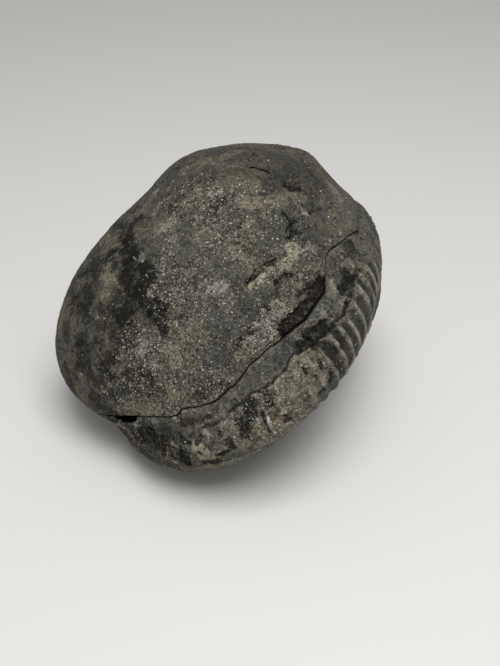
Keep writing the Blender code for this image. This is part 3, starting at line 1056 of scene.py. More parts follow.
def shifted_position(tree, source, pattern):
    """Places moved by a pattern number, so that two uses of one noise differ."""
    return put(tree, "ShaderNodeVectorMath", {0: source, 1: pattern}, operation="ADD").outputs[0]


def noise_of(tree, place, size, kind):
    """Noise from about 0 to 1, its lumps `size` millimetres across."""
    detail, roughness = kind
    spots = scaled_position(tree, place, size)
    options = {"Vector": spots, "Scale": 1.0, "Detail": detail, "Roughness": roughness}
    return put(tree, "ShaderNodeTexNoise", options).outputs[0]


def cells_of(tree, place, size):
    """A Voronoi node whose cells are `size` millimetres across."""
    return put(tree, "ShaderNodeTexVoronoi", {"Vector": scaled_position(tree, place, size), "Scale": 1.0})


print("one millimetre is", MM, "of Blender's units")

# %% [markdown]
# ## Helpers for geometry trees
# A geometry tree reads the numbers that the mesh keeps, lifts vertices along their normals, and stores
# new numbers for the paint. `grow` runs a tree as a modifier. It sets each input by the socket's
# identifier before the object is first evaluated, keeps the result as a plain mesh, and takes the
# modifier away again.

# %% Read, lift, remember and grow
def stored(tree, name):
    """A number that the mesh keeps, read in a geometry tree."""
    reader = put(tree, "GeometryNodeInputNamedAttribute", {"Name": name}, data_type="FLOAT")
    return reader.outputs["Attribute"]


def lift(tree, mesh, height):
    """Move each vertex along its normal by a height in millimetres."""
    metres = calc(tree, "MULTIPLY", height, MM)
    normal = put(tree, "GeometryNodeInputNormal").outputs[0]
    offset = put(tree, "ShaderNodeVectorMath", {0: normal, "Scale": metres}, operation="SCALE").outputs[0]
    return put(tree, "GeometryNodeSetPosition", {0: mesh, "Offset": offset}).outputs[0]


def remember(tree, mesh, name, value):
    """Store a number at each vertex from inside a geometry tree."""
    store = {0: mesh, "Name": name, "Value": value}
    return put(tree, "GeometryNodeStoreNamedAttribute", store, data_type="FLOAT", domain="POINT").outputs[0]


def end_tree(tree, mesh, material, output):
    """The last nodes of a geometry tree: make instances real and set the material."""
    real = put(tree, "GeometryNodeRealizeInstances", {0: mesh}).outputs[0]
    dressed = put(tree, "GeometryNodeSetMaterial", {0: real, "Material": material}).outputs[0]
    feed(tree, output["Mesh"], dressed)


def grow(piece, tree, values, material):
    """Run a geometry tree on a piece and keep the result as its plain mesh."""
    modifier = piece.modifiers.new(tree.name, "NODES")
    modifier.node_group = tree
    sockets = {item.name: item.identifier for item in tree.interface.items_tree if item.in_out == "INPUT"}
    for label, value in (values | {"Material": material}).items():
        modifier[sockets[label]] = value
    graph = bpy.context.evaluated_depsgraph_get()
    ready = piece.evaluated_get(graph)
    grown = bpy.data.meshes.new_from_object(ready, preserve_all_data_layers=True, depsgraph=graph)
    piece.modifiers.remove(modifier)
    piece.data = grown
    grown.name = piece.name
    print(tree.name, "gave", piece.name, len(grown.polygons), "faces")


# %% [markdown]
# ## The ribbed rim
# The shell's outer whorl carries sharp ribs that cross the rim and lean a little forward. A row of ribs
# is a rule, not thirty objects. A short line says which rib lies where round the rim, so every vertex
# gets a rib number: a whole one on a crest, and halfway between two in a furrow.

# %% Number the ribs
RIB_CRESTS = (  # where the ribs' crests lie round the rim, and their number from the first
    (-60.0, -2.4), (-47.5, 0.0), (11.2, 11.0), (22.6, 13.0), (27.2, 14.0), (31.9, 15.0), (38.1, 16.0),
    (45.2, 17.0), (56.6, 19.0), (63.0, 20.0), (150.0, 34.0),
)
RIB_LEAN, RIB_LOWEST = 0.15, -40.0  # how far a rib leans to a degree of height, and how low the ribs reach

ammonite_around = turned(np.degrees(np.arctan2(ammonite_points[:, 1], ammonite_points[:, 0])))
ammonite_up = np.degrees(np.arctan2(ammonite_points[:, 2], np.hypot(*ammonite_points.T[:2])))
upright = ammonite_around - RIB_LEAN * np.maximum(ammonite_up, RIB_LOWEST)
rib_number = np.interp(upright, *np.array(RIB_CRESTS).T)
keep(ammonite, "rib_number", rib_number)
keep(ammonite, "rib_wear", read_line(RIB_WEAR, ammonite_around))
print("ribs counted round the rim:", round(float(rib_number.max())))

# %% [markdown]
# ## Raise the ribs
# Geometry Nodes turn the rib number into a height along the surface's own normal: a sharp crest, a
# round furrow, and less of both where the rib is worn. Where the skin of the shell ends, the bare stone
# lies a step lower. The tree also stores how much crest and furrow each vertex has, because the paint
# needs both.

# %% A tree that raises ribs
RIB = {"Count": 33, "Lowest": RIB_LOWEST, "Height": 0.85, "Sharpness": 2.2, "Wear Size": 5.0,
       "Ledge Step": 0.8}
RIB_FOOT = 16.0  # degrees over which a rib rises from its lowest end
RIB_TOP = (1.2, -3.5)  # degrees from the ledge where a rib ends and where it is full
FIRST_RIB, LAST_RIB = (-0.8, 2.3), (-0.8, 2.6)  # ribs from each end of the row over which it fades in
WEAR_LEVELS, WEAR_HEIGHT = (0.3, 0.7), (1.2, 0.6)  # levels of the noise, and the ribs' height at each
FURROW_SHARE = 0.3  # the part of a rib's height that is cut into the surface
STEP_EDGE, STEP_RUN = (-0.1, 0.6), (8.0, 2.0)  # degrees above the ledge where the step drops and runs out
STEP_TURNS, STEP_LEAST = (-45.0, -20.0), 0.4  # turns over which the step grows, from how much


def rib_row(tree, given):
    """How much of the row of ribs each vertex has, from 0 where there are none."""
    steps, above = stored(tree, "rib_number"), stored(tree, "above_ledge")
    left = calc(tree, "SUBTRACT", calc(tree, "SUBTRACT", given["Count"], 1.0), steps)
    foot = calc(tree, "ADD", given["Lowest"], RIB_FOOT)
    across = ramp(tree, stored(tree, "up"), given["Lowest"], foot)
    across = calc(tree, "MULTIPLY", across, ramp(tree, above, *RIB_TOP))
    row = calc(tree, "MULTIPLY", ramp(tree, steps, *FIRST_RIB), ramp(tree, left, *LAST_RIB))
    row = calc(tree, "MULTIPLY", row, across)
    place = put(tree, "GeometryNodeInputPosition").outputs[0]
    wear = noise_of(tree, place, given["Wear Size"], SOFT)
    row = calc(tree, "MULTIPLY", row, ramp(tree, wear, *WEAR_LEVELS, *WEAR_HEIGHT))
    return calc(tree, "MULTIPLY", row, stored(tree, "rib_wear"))


def ledge_strip(tree):
    """1 on the bare strip above the ledge and 0 elsewhere."""
    above, around = stored(tree, "above_ledge"), stored(tree, "around")
    strip = calc(tree, "MULTIPLY", ramp(tree, above, *STEP_EDGE), ramp(tree, above, *STEP_RUN))
    return calc(tree, "MULTIPLY", strip, ramp(tree, around, *STEP_TURNS, STEP_LEAST, 1.0))


def ribbed_rim():
    """Tree: raise a row of ribs, and drop the bare strip above the ledge."""
    inputs = {"Mesh": "mesh", "Count": "int", "Lowest": "float", "Height": "float", "Sharpness": "float",
              "Wear Size": "float", "Ledge Step": "float", "Material": "material"}
    tree, given, result = new_tree("ribbed_rim", "GeometryNodeTree", inputs, {"Mesh": "mesh"})
    away = calc(tree, "MULTIPLY", calc(tree, "PINGPONG", stored(tree, "rib_number"), 0.5), 2.0)
    crest = calc(tree, "POWER", calc(tree, "SUBTRACT", 1.0, away), given["Sharpness"])
    row = rib_row(tree, given)
    ridge = calc(tree, "MULTIPLY", calc(tree, "SUBTRACT", crest, FURROW_SHARE), row)
    height = calc(tree, "MULTIPLY", ridge, given["Height"])
    height = calc(tree, "SUBTRACT", height, calc(tree, "MULTIPLY", ledge_strip(tree), given["Ledge Step"]))
    mesh = remember(tree, given["Mesh"], "crest", calc(tree, "MULTIPLY", crest, row))
    mesh = remember(tree, mesh, "furrow", calc(tree, "MULTIPLY", calc(tree, "SUBTRACT", 1.0, crest), row))
    end_tree(tree, lift(tree, mesh, height), given["Material"], result)
    return tree


ribs = ribbed_rim()
print(ribs.name, "has", len(ribs.nodes), "nodes")

# %% [markdown]
# ## Weathered stone
# Close up, the stone isn't smooth: shallow lumps, a fine roughness, and small pits where grains fell
# out. All three are noise of different sizes, so one tree serves both halves. Thin scales have split
# off in places: that is noise cut into steps, so each step ends in a low, sharp edge. The tree also
# lifts the marks' own relief, and remembers where the pits and the feet of the scales are, where the
# paint lays painted shade.

# %% A tree that weathers a surface
WEATHER = {"Lump Height": 0.24, "Lump Size": 4.2, "Grit Height": 0.13, "Grit Size": 0.9,
           "Pit Depth": 0.26, "Pit Size": 1.5, "Pit Share": 0.3, "Scale Height": 0.45, "Scale Size": 7.0,
           "Scale Count": 16.0, "Scale Edge": 0.12}
PIT_WIDTHS = (0.25, 0.15)  # how much pits differ in width and the least width, in parts of a cell
SCALE_FOOT, SCALY_ENOUGH = (0.75, 1.0), (0.3, 0.7)  # the end of each step, and how scaly a place must be


def waves(tree, place, given, part, kind):
    """Lumps or grit: noise of one size, up and down from the surface."""
    wave = noise_of(tree, place, given[part + " Size"], kind)
    wave = calc(tree, "MULTIPLY", calc(tree, "SUBTRACT", wave, 0.5), 2.0)
    return calc(tree, "MULTIPLY", wave, given[part + " Height"])


def pits(tree, place, given):
    """1 in the middle of a small pit and 0 outside the pits."""
    cells = cells_of(tree, place, given["Pit Size"])
    chance = put(tree, "FunctionNodeSeparateColor", {0: cells.outputs["Color"]}).outputs
    chosen = calc(tree, "LESS_THAN", chance[0], given["Pit Share"])
    width = calc(tree, "MULTIPLY_ADD", chance[1], *PIT_WIDTHS)
    return calc(tree, "MULTIPLY", chosen, ramp(tree, cells.outputs["Distance"], width, 0.0))


def scales(tree, place, given):
    """The height of the flaked scales, and 1 at the foot of each step."""
    layers = noise_of(tree, place, given["Scale Size"], LAYERED)
    part = calc(tree, "FRACT", calc(tree, "MULTIPLY", layers, given["Scale Count"]))
    step = calc(tree, "SUBTRACT", ramp(tree, part, 0.0, given["Scale Edge"]), part)
    height = calc(tree, "MULTIPLY", given["Scale Height"], stored(tree, "scaly"))
    enough = ramp(tree, stored(tree, "scaly"), *SCALY_ENOUGH)
    foot = calc(tree, "MULTIPLY", ramp(tree, part, *SCALE_FOOT), enough)
    return calc(tree, "MULTIPLY", step, height), foot


def weathered_stone():
    """Tree: lumps, grit, pits, scales and the relief of the marks, on the open surface only."""
    inputs = {"Mesh": "mesh"} | {name: "float" for name in WEATHER}
    inputs |= {"Pattern": "float", "Material": "material"}
    tree, given, result = new_tree("weathered_stone", "GeometryNodeTree", inputs, {"Mesh": "mesh"})
    place = shifted_position(tree, put(tree, "GeometryNodeInputPosition").outputs[0], given["Pattern"])
    bare, pit = stored(tree, "open_face"), pits(tree, place, given)
    step, foot = scales(tree, place, given)
    lump, grit = waves(tree, place, given, "Lump", WAVY), waves(tree, place, given, "Grit", SOFT)
    sunken = calc(tree, "MULTIPLY", pit, given["Pit Depth"])
    height = calc(tree, "SUBTRACT", calc(tree, "ADD", lump, grit), sunken)
    height = calc(tree, "ADD", calc(tree, "ADD", height, step), stored(tree, "relief"))
    mesh = remember(tree, given["Mesh"], "pit", calc(tree, "MULTIPLY", pit, bare))
    mesh = remember(tree, mesh, "scale_foot", calc(tree, "MULTIPLY", foot, bare))
    end_tree(tree, lift(tree, mesh, calc(tree, "MULTIPLY", height, bare)), given["Material"], result)
    return tree


weather = weathered_stone()
print(weather.name, "has", len(weather.nodes), "nodes")

# %% [markdown]
# ## Mineral grains
# Tiny crystals stand out of the stone and catch the light. Geometry Nodes strew them: points on the
# faces, a small ball of twenty faces on each, every ball turned, stretched and sized at random from a
# fixed seed. Noise gathers them in loose clusters within the grainy places.

# %% A tree that strews grains
GRAIN_DENSITY = {"ammonite": 110000.0, "cover": 190000.0}  # grains to a square metre
GRAINS = {"Grain Size": 0.13, "Cluster Size": 4.0, "Seed": 7}
GRAIN_LEAST, GRAIN_MOST = (0.4, 0.3, 0.3), (2.0, 1.0, 0.8)  # least and most stretch along each side
GRAIN_ANYWHERE = 0.02  # the share of grains that lies outside the grainy places
GRAIN_CLUSTER = (0.42, 0.66)  # levels of the noise where a cluster starts and is full
OPEN_ENOUGH, FULL_TURN = 0.9, 6.28  # how open a face must be to hold grains, and a full turn in radians


def mineral_grains():
    """Tree: twenty-sided grains strewn over the open surface."""
    inputs = {"Mesh": "mesh", "Density": "float", "Grain Size": "float", "Cluster Size": "float",
              "Seed": "int", "Material": "material"}
    tree, given, result = new_tree("mineral_grains", "GeometryNodeTree", inputs, {"Mesh": "mesh"})
    bare = calc(tree, "GREATER_THAN", stored(tree, "open_face"), OPEN_ENOUGH)
    place = put(tree, "GeometryNodeInputPosition").outputs[0]
    cluster = noise_of(tree, place, given["Cluster Size"], WAVY)
    grainy = calc(tree, "MULTIPLY_ADD", stored(tree, "grainy"), 1.0 - GRAIN_ANYWHERE, GRAIN_ANYWHERE)
    share = calc(tree, "MULTIPLY", calc(tree, "MULTIPLY", bare, grainy), ramp(tree, cluster, *GRAIN_CLUSTER))
    density = calc(tree, "MULTIPLY", given["Density"], share)
    strew = {"Mesh": given["Mesh"], "Density": density, "Seed": given["Seed"]}
    points = put(tree, "GeometryNodeDistributePointsOnFaces", strew).outputs["Points"]
    radius = calc(tree, "MULTIPLY", given["Grain Size"], MM)
    ball = put(tree, "GeometryNodeMeshIcoSphere", {"Radius": radius, "Subdivisions": 1}).outputs["Mesh"]
    sizes = {"Min": GRAIN_LEAST, "Max": GRAIN_MOST, "Seed": given["Seed"]}
    size = put(tree, "FunctionNodeRandomValue", sizes, data_type="FLOAT_VECTOR").outputs[0]
    turns = {"Max": (FULL_TURN, FULL_TURN, FULL_TURN), "Seed": given["Seed"]}
    turn = put(tree, "FunctionNodeRandomValue", turns, data_type="FLOAT_VECTOR").outputs[0]
    strewn = {"Points": points, "Instance": ball, "Rotation": turn, "Scale": size}
    strewn_grains = put(tree, "GeometryNodeInstanceOnPoints", strewn).outputs[0]
    end_tree(tree, strewn_grains, given["Material"], result)
    return tree


grains = mineral_grains()
print(grains.name, "has", len(grains.nodes), "nodes")

# %% [markdown]
# ## Paint for stone
# The finish is built in layers, as a painter of model rocks would: a mottled ground, then each kind of
# mark over it with a torn edge, then haze, blotches and veins, then specks of mineral, and last the
# dark of cracks and pits. Each effect is a node group with named inputs that both halves use with their
# own values. A group puts out only colours, masks and heights, and sizes are in millimetres.

# %% Colours
def paint(red, green, blue):
    """A colour given as a paint chart gives it, 0 to 255, made ready for a shader."""
    parts = [value / 255.0 for value in (red, green, blue)]
    return tuple(p / 12.92 if p <= 0.04045 else ((p + 0.055) / 1.055) ** 2.4 for p in parts) + (1.0,)


def mixed(tree, under, over, amount, blend="MIX"):
    """One colour laid over another."""
    node = put(tree, "ShaderNodeMix", data_type="RGBA", blend_type=blend)
    for socket, value in zip((node.inputs[0], node.inputs[6], node.inputs[7]), (amount, under, over)):
        feed(tree, socket, value)
    return node.outputs[2]


def object_place(tree):
    """Places on the piece, in metres."""
    return put(tree, "ShaderNodeTexCoord").outputs["Object"]


print("middle grey in a shader:", round(paint(128, 128, 128)[0], 3))

# %% [markdown]
# ## The mottled ground
# Bare stone is two close colours in broad patches, with finer mottling over them. Every grain of the
# stone is a little lighter or darker than its neighbours: each Voronoi cell is a grain, and its random
# colour gives the tone. The group also puts out a fine height, for the roughness that is too small for
# the mesh.

# %% Group: mottled ground
PATCH_EDGE = (0.38, 0.62)  # levels of the noise between the dark and the warm ground
DARKEST_TONE = 0.15
DOME_HEIGHT, MOTTLE_HEIGHT = 0.5, 1.5  # how much grains and mottling add to the fine height


def mottled_ground():
    """Two stone colours in broad patches, with a tone for every grain, and a fine height."""
    inputs = {"Dark": "colour", "Warm": "colour", "Patch Size": "float", "Mottle Size": "float",
              "Mottle": "float", "Grain Size": "float", "Grain": "float", "Pattern": "float"}
    outputs = {"Color": "colour", "Tone": "colour", "Height": "float"}
    tree, given, result = new_tree("mottled_ground", "ShaderNodeTree", inputs, outputs)
    place = shifted_position(tree, object_place(tree), given["Pattern"])
    broad = ramp(tree, noise_of(tree, place, given["Patch Size"], BROAD), *PATCH_EDGE)
    feed(tree, result["Color"], mixed(tree, given["Dark"], given["Warm"], broad))
    fine = noise_of(tree, place, given["Mottle Size"], FINE)
    cells = cells_of(tree, place, given["Grain Size"])
    chance = put(tree, "ShaderNodeSeparateColor", {0: cells.outputs["Color"]}).outputs[0]
    grain = calc(tree, "MULTIPLY", calc(tree, "SUBTRACT", chance, 0.5), given["Grain"])
    value = calc(tree, "MULTIPLY_ADD", calc(tree, "SUBTRACT", fine, 0.5), given["Mottle"], grain)
    tone = calc(tree, "MAXIMUM", calc(tree, "ADD", value, 1.0), DARKEST_TONE)
    feed(tree, result["Tone"], put(tree, "ShaderNodeCombineColor", {0: tone, 1: tone, 2: tone}).outputs[0])
    dome = calc(tree, "SUBTRACT", chance, cells.outputs["Distance"])
    mottle_height = calc(tree, "MULTIPLY", fine, MOTTLE_HEIGHT)
    feed(tree, result["Height"], calc(tree, "MULTIPLY_ADD", dome, DOME_HEIGHT, mottle_height))
    return tree


GROUND = mottled_ground()
print("group:", GROUND.name)

# %% [markdown]
# ## A torn layer
# A stain or a crust has a ragged edge, far finer than the mesh. The mesh gives the depth inside the
# stroke, the group adds noise to it, and what is still above nothing is covered. So noise tears the
# edge and leaves the middle whole.

# %% Group: torn layer
TEAR_RUN = 4.0  # turns the noise's spread, about a quarter each way, into the wished tear


def torn_layer():
    """A colour laid over another inside a kept stroke, whose edge is torn by noise."""
    inputs = {"Under": "colour", "Over": "colour", "Field": "float", "Softness": "float", "Tear": "float",
              "Tear Size": "float", "Amount": "float"}
    outputs = {"Color": "colour", "Mask": "float"}
    tree, given, result = new_tree("torn_layer", "ShaderNodeTree", inputs, outputs)
    tear = calc(tree, "SUBTRACT", noise_of(tree, object_place(tree), given["Tear Size"], TORN), 0.5)
    field = calc(tree, "MULTIPLY_ADD", tear, calc(tree, "MULTIPLY", given["Tear"], TEAR_RUN), given["Field"])
    mask = ramp(tree, field, calc(tree, "MULTIPLY", given["Softness"], -1.0), given["Softness"])
    mask = calc(tree, "MULTIPLY", mask, given["Amount"])
    feed(tree, result["Color"], mixed(tree, given["Under"], given["Over"], mask))
    feed(tree, result["Mask"], mask)
    return tree


LAYER = torn_layer()
print("group:", LAYER.name)

# %% [markdown]
# ## Mineral specks
# Besides the grains that stand out of the stone, thousands of smaller ones lie flush in it. Each speck
# sits in a Voronoi cell of its own. Chance picks the cells, noise gathers them in clusters, and the
# cells are bent by noise first, so that no speck is round.

# %% Group: mineral specks
SPECK_BEND, SPECK_BEND_SCALE = 1.1, 1.3  # how far the cells are bent, and how finely
SPECK_CLUSTER, SPECK_SHARES = (0.4, 0.64), (0.15, 2.2)  # levels of the noise, and the share at each
SPECK_WIDTHS = (0.32, 0.16)  # how much specks differ in width and the least width, in parts of a cell
SPECK_STRENGTHS = (0.7, 0.3)  # how much specks differ in strength, and the least strength
SPECK_CORE = 0.5  # the part of a speck's width that is solid


def bent_cells(tree, place, size):
    """A Voronoi node with bent cells."""
    spots = scaled_position(tree, place, size)
    bend = {"Vector": spots, "Scale": SPECK_BEND_SCALE, "Detail": 2.0}
    bend = put(tree, "ShaderNodeTexNoise", bend).outputs["Color"]
    bend = put(tree, "ShaderNodeVectorMath", {0: bend, "Scale": SPECK_BEND}, operation="SCALE").outputs[0]
    spots = put(tree, "ShaderNodeVectorMath", {0: spots, 1: bend}, operation="ADD").outputs[0]
    return put(tree, "ShaderNodeTexVoronoi", {"Vector": spots, "Scale": 1.0})


def mineral_specks():
    """Small ragged specks in loose clusters, each in its own cell, with their mask for relief."""
    inputs = {"Under": "colour", "Speck": "colour", "Cell Size": "float", "Cluster Size": "float",
              "Share": "float", "Amount": "float", "Pattern": "float"}
    outputs = {"Color": "colour", "Mask": "float"}
    tree, given, result = new_tree("mineral_specks", "ShaderNodeTree", inputs, outputs)
    place = shifted_position(tree, object_place(tree), given["Pattern"])
    cells = bent_cells(tree, place, given["Cell Size"])
    chance = put(tree, "ShaderNodeSeparateColor", {0: cells.outputs["Color"]}).outputs
    cluster = noise_of(tree, place, given["Cluster Size"], BROAD)
    cluster = ramp(tree, cluster, *SPECK_CLUSTER, *SPECK_SHARES)
    chosen = calc(tree, "LESS_THAN", chance[0], calc(tree, "MULTIPLY", given["Share"], cluster))
    width = calc(tree, "MULTIPLY_ADD", chance[1], *SPECK_WIDTHS)
    speck = ramp(tree, cells.outputs["Distance"], width, calc(tree, "MULTIPLY", width, SPECK_CORE))
    mask = calc(tree, "MULTIPLY", chosen, speck)
    strength = calc(tree, "MULTIPLY_ADD", chance[2], *SPECK_STRENGTHS)
    strength = calc(tree, "MULTIPLY", mask, calc(tree, "MULTIPLY", given["Amount"], strength))
    feed(tree, result["Color"], mixed(tree, given["Under"], given["Speck"], strength))
    feed(tree, result["Mask"], mask)
    return tree


SPECKS = mineral_specks()
print("group:", SPECKS.name)

# %% [markdown]
# ## Ragged patches
# Haze on the black film, black blotches, worn skin on the ribs' crests and rubble in the flake are all
# the same thing: a colour that shows where noise rises above a level. One group paints them all.

# %% Group: ragged patches
def ragged_patches():
    """A colour laid over another where noise rises above a level, as far as an amount allows."""
    inputs = {"Under": "colour", "Over": "colour", "Patch Size": "float", "Low": "float", "High": "float",
              "Amount": "float"}
    tree, given, result = new_tree("ragged_patches", "ShaderNodeTree", inputs, {"Color": "colour"})
    noisy = noise_of(tree, object_place(tree), given["Patch Size"], TORN)
    mask = calc(tree, "MULTIPLY", ramp(tree, noisy, given["Low"], given["High"]), given["Amount"])
    feed(tree, result["Color"], mixed(tree, given["Under"], given["Over"], mask))
    return tree


PATCHES = ragged_patches()
print("group:", PATCHES.name)

# %% [markdown]
# ## Fine veins
# Stone of this kind is crossed by thin veins, some filled with pale mineral and some open and dark.
# Noise passes through its middle value along thin wandering lines, and those lines are the veins. A
# second, larger noise breaks them into stretches.

# %% Group: fine veins
VEIN_STRETCH, VEIN_BREAK = 1.7, (0.4, 0.55)  # size of the stretches to a vein's, and the levels between them


def fine_veins():
    """Thin wandering veins: the places where a noise crosses its middle value."""
    inputs = {"Under": "colour", "Vein": "colour", "Vein Size": "float", "Width": "float", "Amount": "float",
              "Pattern": "float"}
    outputs = {"Color": "colour", "Mask": "float"}
    tree, given, result = new_tree("fine_veins", "ShaderNodeTree", inputs, outputs)
    place = shifted_position(tree, object_place(tree), given["Pattern"])
    away = calc(tree, "SUBTRACT", noise_of(tree, place, given["Vein Size"], BROAD), 0.5)
    mask = ramp(tree, calc(tree, "ABSOLUTE", away), given["Width"], 0.0)
    stretch = noise_of(tree, place, calc(tree, "MULTIPLY", given["Vein Size"], VEIN_STRETCH), LUMPY)
    mask = calc(tree, "MULTIPLY", mask, ramp(tree, stretch, *VEIN_BREAK))
    mask = calc(tree, "MULTIPLY", mask, given["Amount"])
    feed(tree, result["Color"], mixed(tree, given["Under"], given["Vein"], mask))
    feed(tree, result["Mask"], mask)
    return tree


VEINS = fine_veins()
print("group:", VEINS.name)

# %% [markdown]
# ## Read the mesh and place the groups
# A material reads the stored numbers with an Attribute node. `group` places a group with its inputs,
# and three more helpers place the effects that come back several times, each from one small list of its
# looks.

# %% Helpers for the materials
def attribute(tree, name):
    """A number that the mesh keeps, read in a material."""
    return put(tree, "ShaderNodeAttribute", attribute_name=name).outputs["Fac"]


def group(tree, which, **inputs):
    """Place a node group with its inputs."""
    node = put(tree, "ShaderNodeGroup", node_tree=which)
    for label, value in inputs.items():
        feed(tree, node.inputs[label.replace("_", " ")], value)
    return node.outputs


def patches(tree, under, look, where):
    """Ragged patches over a colour, as far as `where` allows."""
    low, high = look["levels"]
    amount = calc(tree, "MULTIPLY", where, look["amount"])
    return group(tree, PATCHES, Under=under, Over=look["colour"], Patch_Size=look["size"], Low=low, High=high,
                 Amount=amount)["Color"]


def veins(tree, under, look, amount, pattern):
    """Veins over a colour."""
    return group(tree, VEINS, Under=under, Vein=look["colour"], Vein_Size=look["size"], Width=look["width"],
                 Amount=amount, Pattern=pattern + look["shift"])


def specks(tree, under, look, share, pattern):
    """Specks over a colour, of which a share is there."""
    return group(tree, SPECKS, Under=under, Speck=look["colour"], Cell_Size=look["size"],
                 Cluster_Size=look["cluster"], Share=share, Amount=look["amount"],
                 Pattern=pattern + look["shift"])


print("groups to place:", ", ".join(made.name for made in (GROUND, LAYER, SPECKS, PATCHES, VEINS)))

# %% [markdown]
# ## The ground and the marks over it
# The layers are listed once: which kept stroke each reads, its colour, how soft and how torn its edge
# is, how large the tears are and how strongly it covers. Both halves use the same list over their own
# ground. The ground is calmer under crust and slate, because those hide its grains.

# %% Lay the ground and the marks
LAYERS = (
    ("slate", paint(74, 75, 71), 1.0, 0.9, 2.4, 0.7),
    ("shade", paint(32, 32, 28), 0.6, 1.1, 1.8, 0.7),
    ("tan", paint(128, 121, 103), 0.5, 0.9, 1.2, 0.68),
    ("crust", paint(156, 150, 130), 0.18, 0.45, 0.7, 0.9),
    ("pale", paint(158, 154, 142), 0.5, 1.1, 0.8, 0.45),
    ("film", paint(18, 18, 16), 0.4, 1.3, 1.9, 0.94),
    # cell: partly painted shade in sunken cells and at the feet of little ledges.
    ("cell", paint(36, 36, 32), 0.15, 0.3, 0.9, 0.9),
    ("rust", paint(160, 122, 80), 0.25, 0.15, 0.5, 0.7),
    # On the cover's film the white layer paints glints: painted highlights.
    ("white", paint(204, 202, 194), 0.12, 0.12, 0.4, 0.95),
)
GROUND_SIZES = {"Patch_Size": 7.0, "Mottle_Size": 1.1, "Grain_Size": 0.34}
MOTTLE, GRAIN_TONE = (0.3, 1.5), (0.6, 0.8)  # what grainy places add, and what is there everywhere
HIDDEN_BY = {"tan": (-0.3, 0.4, 0.75), "slate": (-0.6, 0.6, 0.5)}  # first and full depth, and what shows


def unhidden(tree):
    """How much of the ground's texture shows: less where crust or slate hides it."""
    shows = 1.0
    for kind, (start, full, least) in HIDDEN_BY.items():
        shows = calc(tree, "MULTIPLY", shows, ramp(tree, attribute(tree, kind), start, full, 1.0, least))
    return shows


def stone_ground(tree, stone, shows):
    """The mottled ground of one stone."""
    grainy = attribute(tree, "grainy")
    mottle = calc(tree, "MULTIPLY", calc(tree, "MULTIPLY_ADD", grainy, *MOTTLE), shows)
    grain = calc(tree, "MULTIPLY", calc(tree, "MULTIPLY_ADD", grainy, *GRAIN_TONE), shows)
    return group(tree, GROUND, Dark=stone["dark"], Warm=stone["warm"], Pattern=stone["pattern"],
                 Mottle=mottle, Grain=grain, **GROUND_SIZES)


def marked(tree, ground):
    """The ground with every kind of mark over it, and a mask for each kind."""
    colour, masks = ground["Color"], {}
    for kind, over, softness, tear, size, amount in LAYERS:
        laid = group(tree, LAYER, Under=colour, Over=over, Field=attribute(tree, kind), Softness=softness,
                     Tear=tear, Tear_Size=size, Amount=amount)
        colour, masks[kind] = laid["Color"], laid["Mask"]
    return mixed(tree, colour, ground["Tone"], 1.0, "MULTIPLY"), masks


print("layers from the ground up:", ", ".join(layer[0] for layer in LAYERS))

# %% [markdown]
# ## Haze, blotches and veins
# The black film has a grey haze where it is thin, dusky places carry black blotches, and some of the
# top of the stone is dull and olive. The film hides most of the veins that it covers.

# %% Lay haze, blotches and veins
HAZE = {"colour": paint(96, 95, 87), "size": 1.5, "levels": (0.5, 0.68), "amount": 0.6}
BLOTCHES = {"colour": paint(24, 24, 21), "size": 3.2, "levels": (0.47, 0.53), "amount": 0.72}
PALE_VEINS = {"colour": paint(136, 131, 116), "size": 2.0, "width": 0.02, "shift": 0.7}
DARK_VEINS = {"colour": paint(22, 21, 18), "size": 3.0, "width": 0.022, "shift": 0.0}
DULL_OLIVE, DULL = paint(34, 31, 22), 0.3
FILM_HIDES_VEINS = 0.8


def less(tree, mask, amount):
    """1 where a mask is empty, and less by an amount where it is full."""
    return calc(tree, "SUBTRACT", 1.0, calc(tree, "MULTIPLY", mask, amount))


def veined(tree, colour, masks, stone):
    """Haze, blotches, veins and dullness over a colour, and the mask of the dark veins."""
    colour = patches(tree, colour, HAZE, masks["film"])
    colour = patches(tree, colour, BLOTCHES, attribute(tree, "dusky"))
    open_here = less(tree, masks["film"], FILM_HIDES_VEINS)
    pale = calc(tree, "MULTIPLY", open_here, stone["pale veins"])
    dark = calc(tree, "MULTIPLY", open_here, stone["dark veins"])
    colour = veins(tree, colour, PALE_VEINS, pale, stone["pattern"])["Color"]
    dark_veins = veins(tree, colour, DARK_VEINS, dark, stone["pattern"])
    dulled = calc(tree, "MULTIPLY", attribute(tree, "dull"), DULL)
    return mixed(tree, dark_veins["Color"], DULL_OLIVE, dulled), dark_veins["Mask"]


print("a thin haze covers", HAZE["amount"], "of the film below it")

# %% [markdown]
# ## Ribs in light and dark
# A rib's crest is painted pale and its furrow dark, unless crust fills it. The crest and furrow
# numbers that the geometry tree stored say where each is.

# %% Tone the ribs
FURROW_COLOUR, FURROW_LEVELS, FURROW_AMOUNT = paint(44, 45, 42), (0.25, 0.7), 0.75
CREST = {"colour": paint(158, 153, 138), "size": 1.8, "levels": (0.3, 0.52), "amount": 0.85}
CREST_LEVELS = (0.22, 0.75)
CRUST_FILLS = 0.9  # how much of a furrow's dark is gone under crust


def toned_ribs(tree, colour, masks):
    """Dark furrows and pale crests over a colour."""
    furrow = ramp(tree, attribute(tree, "furrow"), *FURROW_LEVELS)
    furrow = calc(tree, "MULTIPLY", furrow, less(tree, masks["tan"], CRUST_FILLS))
    colour = mixed(tree, colour, FURROW_COLOUR, calc(tree, "MULTIPLY", furrow, FURROW_AMOUNT))
    return patches(tree, colour, CREST, ramp(tree, attribute(tree, "crest"), *CREST_LEVELS))


print("furrows take", FURROW_AMOUNT, "of their dark, crests", CREST["amount"], "of their rub")

# %% [markdown]
# ## Flecks and specks
# Three sizes of mineral lie flush in the stone: pale flecks, small bright specks and dark specks. They
# are commonest in grainy and rubbed places, and few on film and slate.

